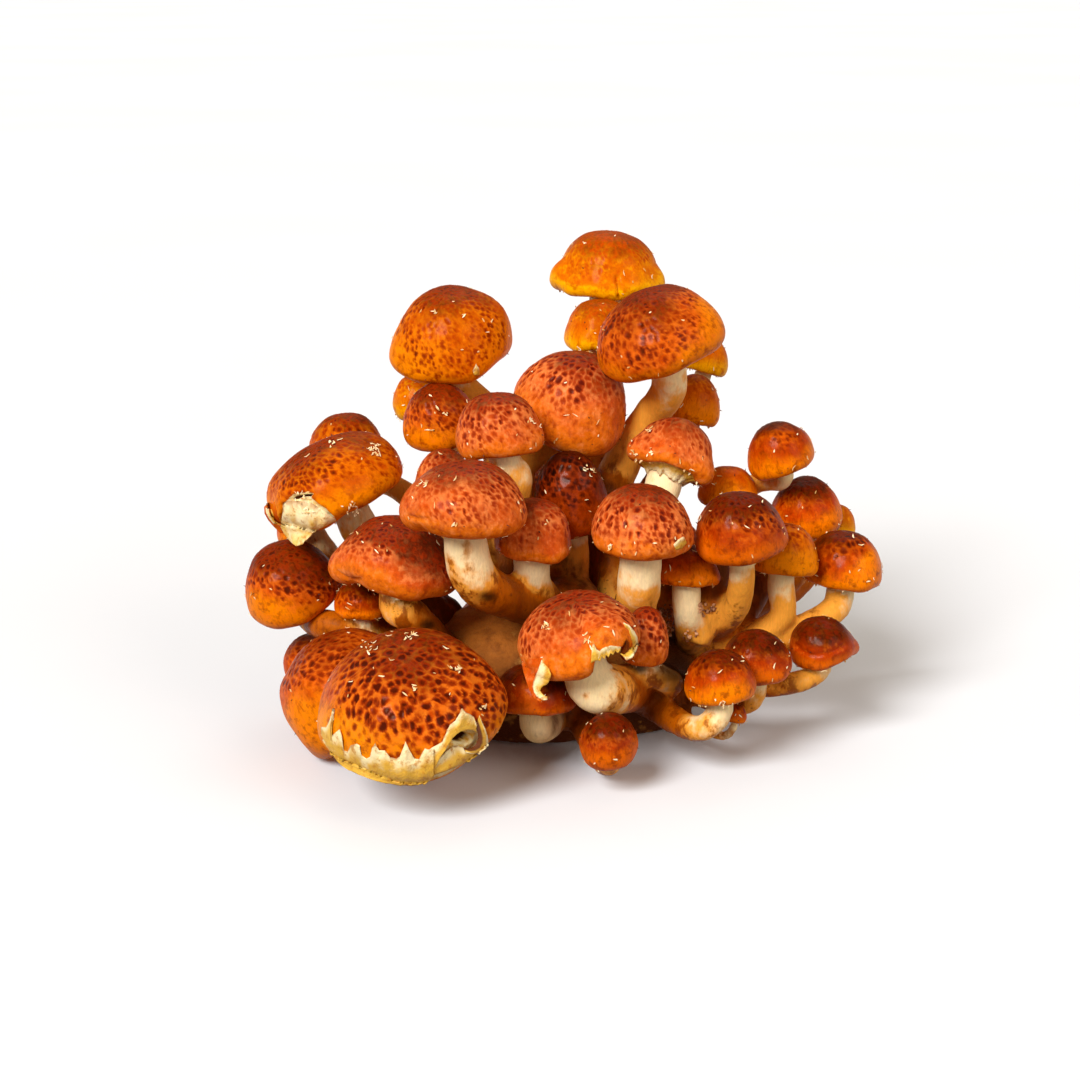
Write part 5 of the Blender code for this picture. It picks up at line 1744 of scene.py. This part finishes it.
def stem_material():
    """Cream near the cap, then ochre with brown blotches, and dark brown at the foot, with painted shade in
    the clump's middle and in dark spots.
    """
    shader = Shader("stem_skin")
    place = shader.place()
    clouds = shader.noise(place, 0.11)
    blots = shader.noise(shader.stretch(place, (1.0, 1.0, 0.6)), 0.26, 5.0, 0.62)
    flecks = shader.noise(place, 0.7, 4.0, 0.6)
    grain = shader.noise(shader.stretch(place, (1.0, 1.0, 0.3)), 1.9, 4.0, 0.6)
    down = shader.varied(shader.varied(shader.attribute("from_cap"), 24.0, clouds), 16.0, blots)
    down = shader.math("SUBTRACT", down, shader.attribute("cream"))
    tint = shader.mix(shader.span(down, 2.0, 9.0), "FDE4B4", "F2A43C")
    down = shader.math("SUBTRACT", down, shader.attribute("tan"))
    tint = shader.mix(shader.span(down, 8.0, 16.0), tint, "B85C02")
    tint = shader.mix(shader.span(down, 15.0, 28.0), tint, "8C4000")
    foot = shader.varied(shader.attribute("from_foot"), 30.0, blots)
    tint = shader.mix(shader.span(foot, 20.0, 4.0), tint, "642A04")
    stain = shader.times(shader.span(blots, 0.50, 0.60), shader.span(down, 2.0, 10.0))
    tint = shader.mix(shader.times(stain, 0.85), tint, "8A3E02")
    dark = shader.times(shader.span(flecks, 0.64, 0.70), shader.span(down, 0.0, 10.0))
    tint = shader.mix(shader.times(dark, 0.6), tint, "5A2204")
    # Painted shade in the clump's middle
    tint = shader.mix(shader.times(shader.attribute("inner"), 0.4), tint, "6A3006")
    # Painted shade in dark spots where hollows lie
    tint = shader.mix(shader.times(shader.attribute("shade_spot"), 0.9), tint, "1C0802")
    shader.set(
        Base_Color=shader.grained(tint, grain, 0.9),
        Roughness=shader.span(stain, 0.0, 1.0, 0.5, 0.36),
        Normal=shader.bump(shader.plus(shader.times(grain, 0.5), 0.8, blots), 0.3),
        Specular_IOR_Level=0.2,
        Specular_Tint="FFD2A0",
    )
    shader.soak(0.12, (1.0, 0.5, 0.2), 2.0)
    return shader.material


def base_material():
    """Brown fused mass: tan above, where stems began, darker towards the bottom, and with painted shade in
    dark spots where its hollows lie.
    """
    shader = Shader("base_skin")
    place = shader.place()
    high = shader.add("ShaderNodeSeparateXYZ", {0: place}).outputs[2]
    clouds = shader.noise(place, 0.09, 4.0, 0.6)
    blots = shader.noise(place, 0.17, 4.0)
    grain = shader.noise(place, 1.5, 4.0, 0.6)
    level = shader.varied(high, 40.0, clouds)
    tint = shader.mix(shader.span(level, 12.0, 44.0), "4A1C04", "C07028")
    tint = shader.mix(shader.span(blots, 0.54, 0.68, 0.0, 0.5), tint, "52200A")
    tint = shader.mix(shader.span(blots, 0.42, 0.30, 0.0, 0.4), tint, "D29648")
    # Painted shade in dark spots where hollows lie
    tint = shader.mix(shader.times(shader.attribute("shade_spot"), 0.9), tint, "2E0E03")
    shader.set(
        Base_Color=tint,
        Roughness=0.5,
        Normal=shader.bump(shader.math("ADD", grain, blots), 0.4),
        Specular_IOR_Level=0.2,
        Specular_Tint="FFD2A0",
    )
    shader.soak(0.06, (1.0, 0.5, 0.2), 2.0)
    return shader.material


# Stage

def add_camera():
    """The photograph's view: a square picture that is VIEW_WIDTH wide at VIEW_AIM."""
    lens = bpy.data.cameras.new("view")
    lens.sensor_width = SENSOR_WIDTH
    lens.lens = SENSOR_WIDTH * VIEW_DISTANCE / VIEW_WIDTH
    camera = bpy.data.objects.new("view", lens)
    back = view_rotation() @ Vector((0, -1, 0))
    camera.location = VIEW_AIM + back * VIEW_DISTANCE
    camera.rotation_euler = back.to_track_quat("Z", "Y").to_euler()
    bpy.context.scene.collection.objects.link(camera)
    bpy.context.scene.camera = camera


def add_lamp(name, compass, height, strength, soft, tint):
    """A soft far light, from a compass point and a height in degrees, that is soft degrees wide."""
    lamp = bpy.data.lights.new(name, "SUN")
    lamp.energy = strength
    lamp.angle = math.radians(soft)
    lamp.color = tint
    light = bpy.data.objects.new(name, lamp)
    light.rotation_euler = Vector(direction(compass, height)).to_track_quat("Z", "Y").to_euler()
    bpy.context.scene.collection.objects.link(light)


def add_sky():
    """Surroundings in soft bands of light, by their height."""
    world = bpy.data.worlds.new("studio")
    world.use_nodes = True
    nodes = world.node_tree.nodes
    links = world.node_tree.links
    around = nodes.new("ShaderNodeTexCoord")
    parts = nodes.new("ShaderNodeSeparateXYZ")
    heights = nodes.new("ShaderNodeMapRange")
    ramp = nodes.new("ShaderNodeValToRGB")
    links.new(around.outputs["Generated"], parts.inputs[0])
    links.new(parts.outputs[2], heights.inputs["Value"])
    links.new(heights.outputs[0], ramp.inputs[0])
    links.new(ramp.outputs[0], nodes["Background"].inputs["Color"])
    lowest, highest = SKY[0][0], SKY[-1][0]
    heights.inputs["From Min"].default_value = lowest
    heights.inputs["From Max"].default_value = highest
    bands = ramp.color_ramp.elements
    for height, _ in SKY[1:-1]:
        bands.new((height - lowest) / (highest - lowest))
    for band, (_, tint) in zip(bands, SKY):
        band.color = (*tint, 1.0)
    nodes["Background"].inputs["Strength"].default_value = 1.0
    bpy.context.scene.world = world


def add_stage():
    """Plain pale floor and soft studio light."""
    bpy.context.scene.view_settings.view_transform = "Standard"
    add_sky()
    bpy.ops.mesh.primitive_plane_add(size=FLOOR_SIZE, location=(0, 0, -FLOOR_DROP))
    floor = bpy.context.object
    floor.name = "floor"
    floor.visible_diffuse = False
    shader = Shader("floor_paper")
    tone = shader.noise(shader.place(), 0.002, 2.0)
    pale = shader.mix(shader.span(tone, 0.3, 0.7), "ECF0FA", "F0F5FF")
    shader.set(Base_Color=pale, Roughness=0.8, Specular_IOR_Level=0.1)
    floor.data.materials.append(shader.material)
    for lamp in LAMPS:
        add_lamp(*lamp)


def add_details(caps, below, skins, veil):
    """The veils, and the husks, crumbs and points, each kind joined in one mesh."""
    mushrooms = {mushroom.name: mushroom for bunch in BUNCHES for mushroom in bunch.mushrooms}
    for sheet in SHEETS:
        make_sheet(sheet, caps[sheet.cap][1], skins, veil)
    for name, start, end, drop in SKIRTS:
        make_skirt(mushrooms[name], caps[name][0], veil, start, end, drop)
    rng = np.random.default_rng(DETAIL_SEED)
    husks = Scraps()
    spikes = Scraps()
    crumbs = Scraps()
    for shape, _ in caps.values():
        scatter_on_cap(shape, husks, spikes, rng)
    for name, heaps in HEAPS.items():
        for x, y, count, wide in heaps:
            scatter_heap(caps[name][1], x, y, count, wide, husks, rng)
    scatter_crumbs(below, crumbs, rng)
    husks.finish("husks", scrap_material("husk", "FFF2CC", "D9A860"))
    spikes.finish("scale_points", scrap_material("scale_point", "6A2A0C", "2A0E04"))
    crumbs.finish("crumbs", scrap_material("crumb", "DCA67C", "74401E"))


def main():
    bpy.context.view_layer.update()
    add_camera()
    add_stage()
    skins = {name: skin_material("skin_" + name, palette) for name, palette in PALETTES.items()}
    gills = gill_material()
    stem = stem_material()
    veil = veil_material()
    caps = {}
    below = []
    for number, bunch in enumerate(BUNCHES):
        rng = np.random.default_rng(BUNCH_SEED + number)
        below.append(make_stems(bunch, stem, rng))
        for mushroom in bunch.mushrooms:
            look = LOOKS[mushroom.name]
            caps[mushroom.name] = make_cap(mushroom, look, [skins[look.palette], gills], rng)
    below.append(make_base(base_material()))
    add_details(caps, below, skins, veil)


main()
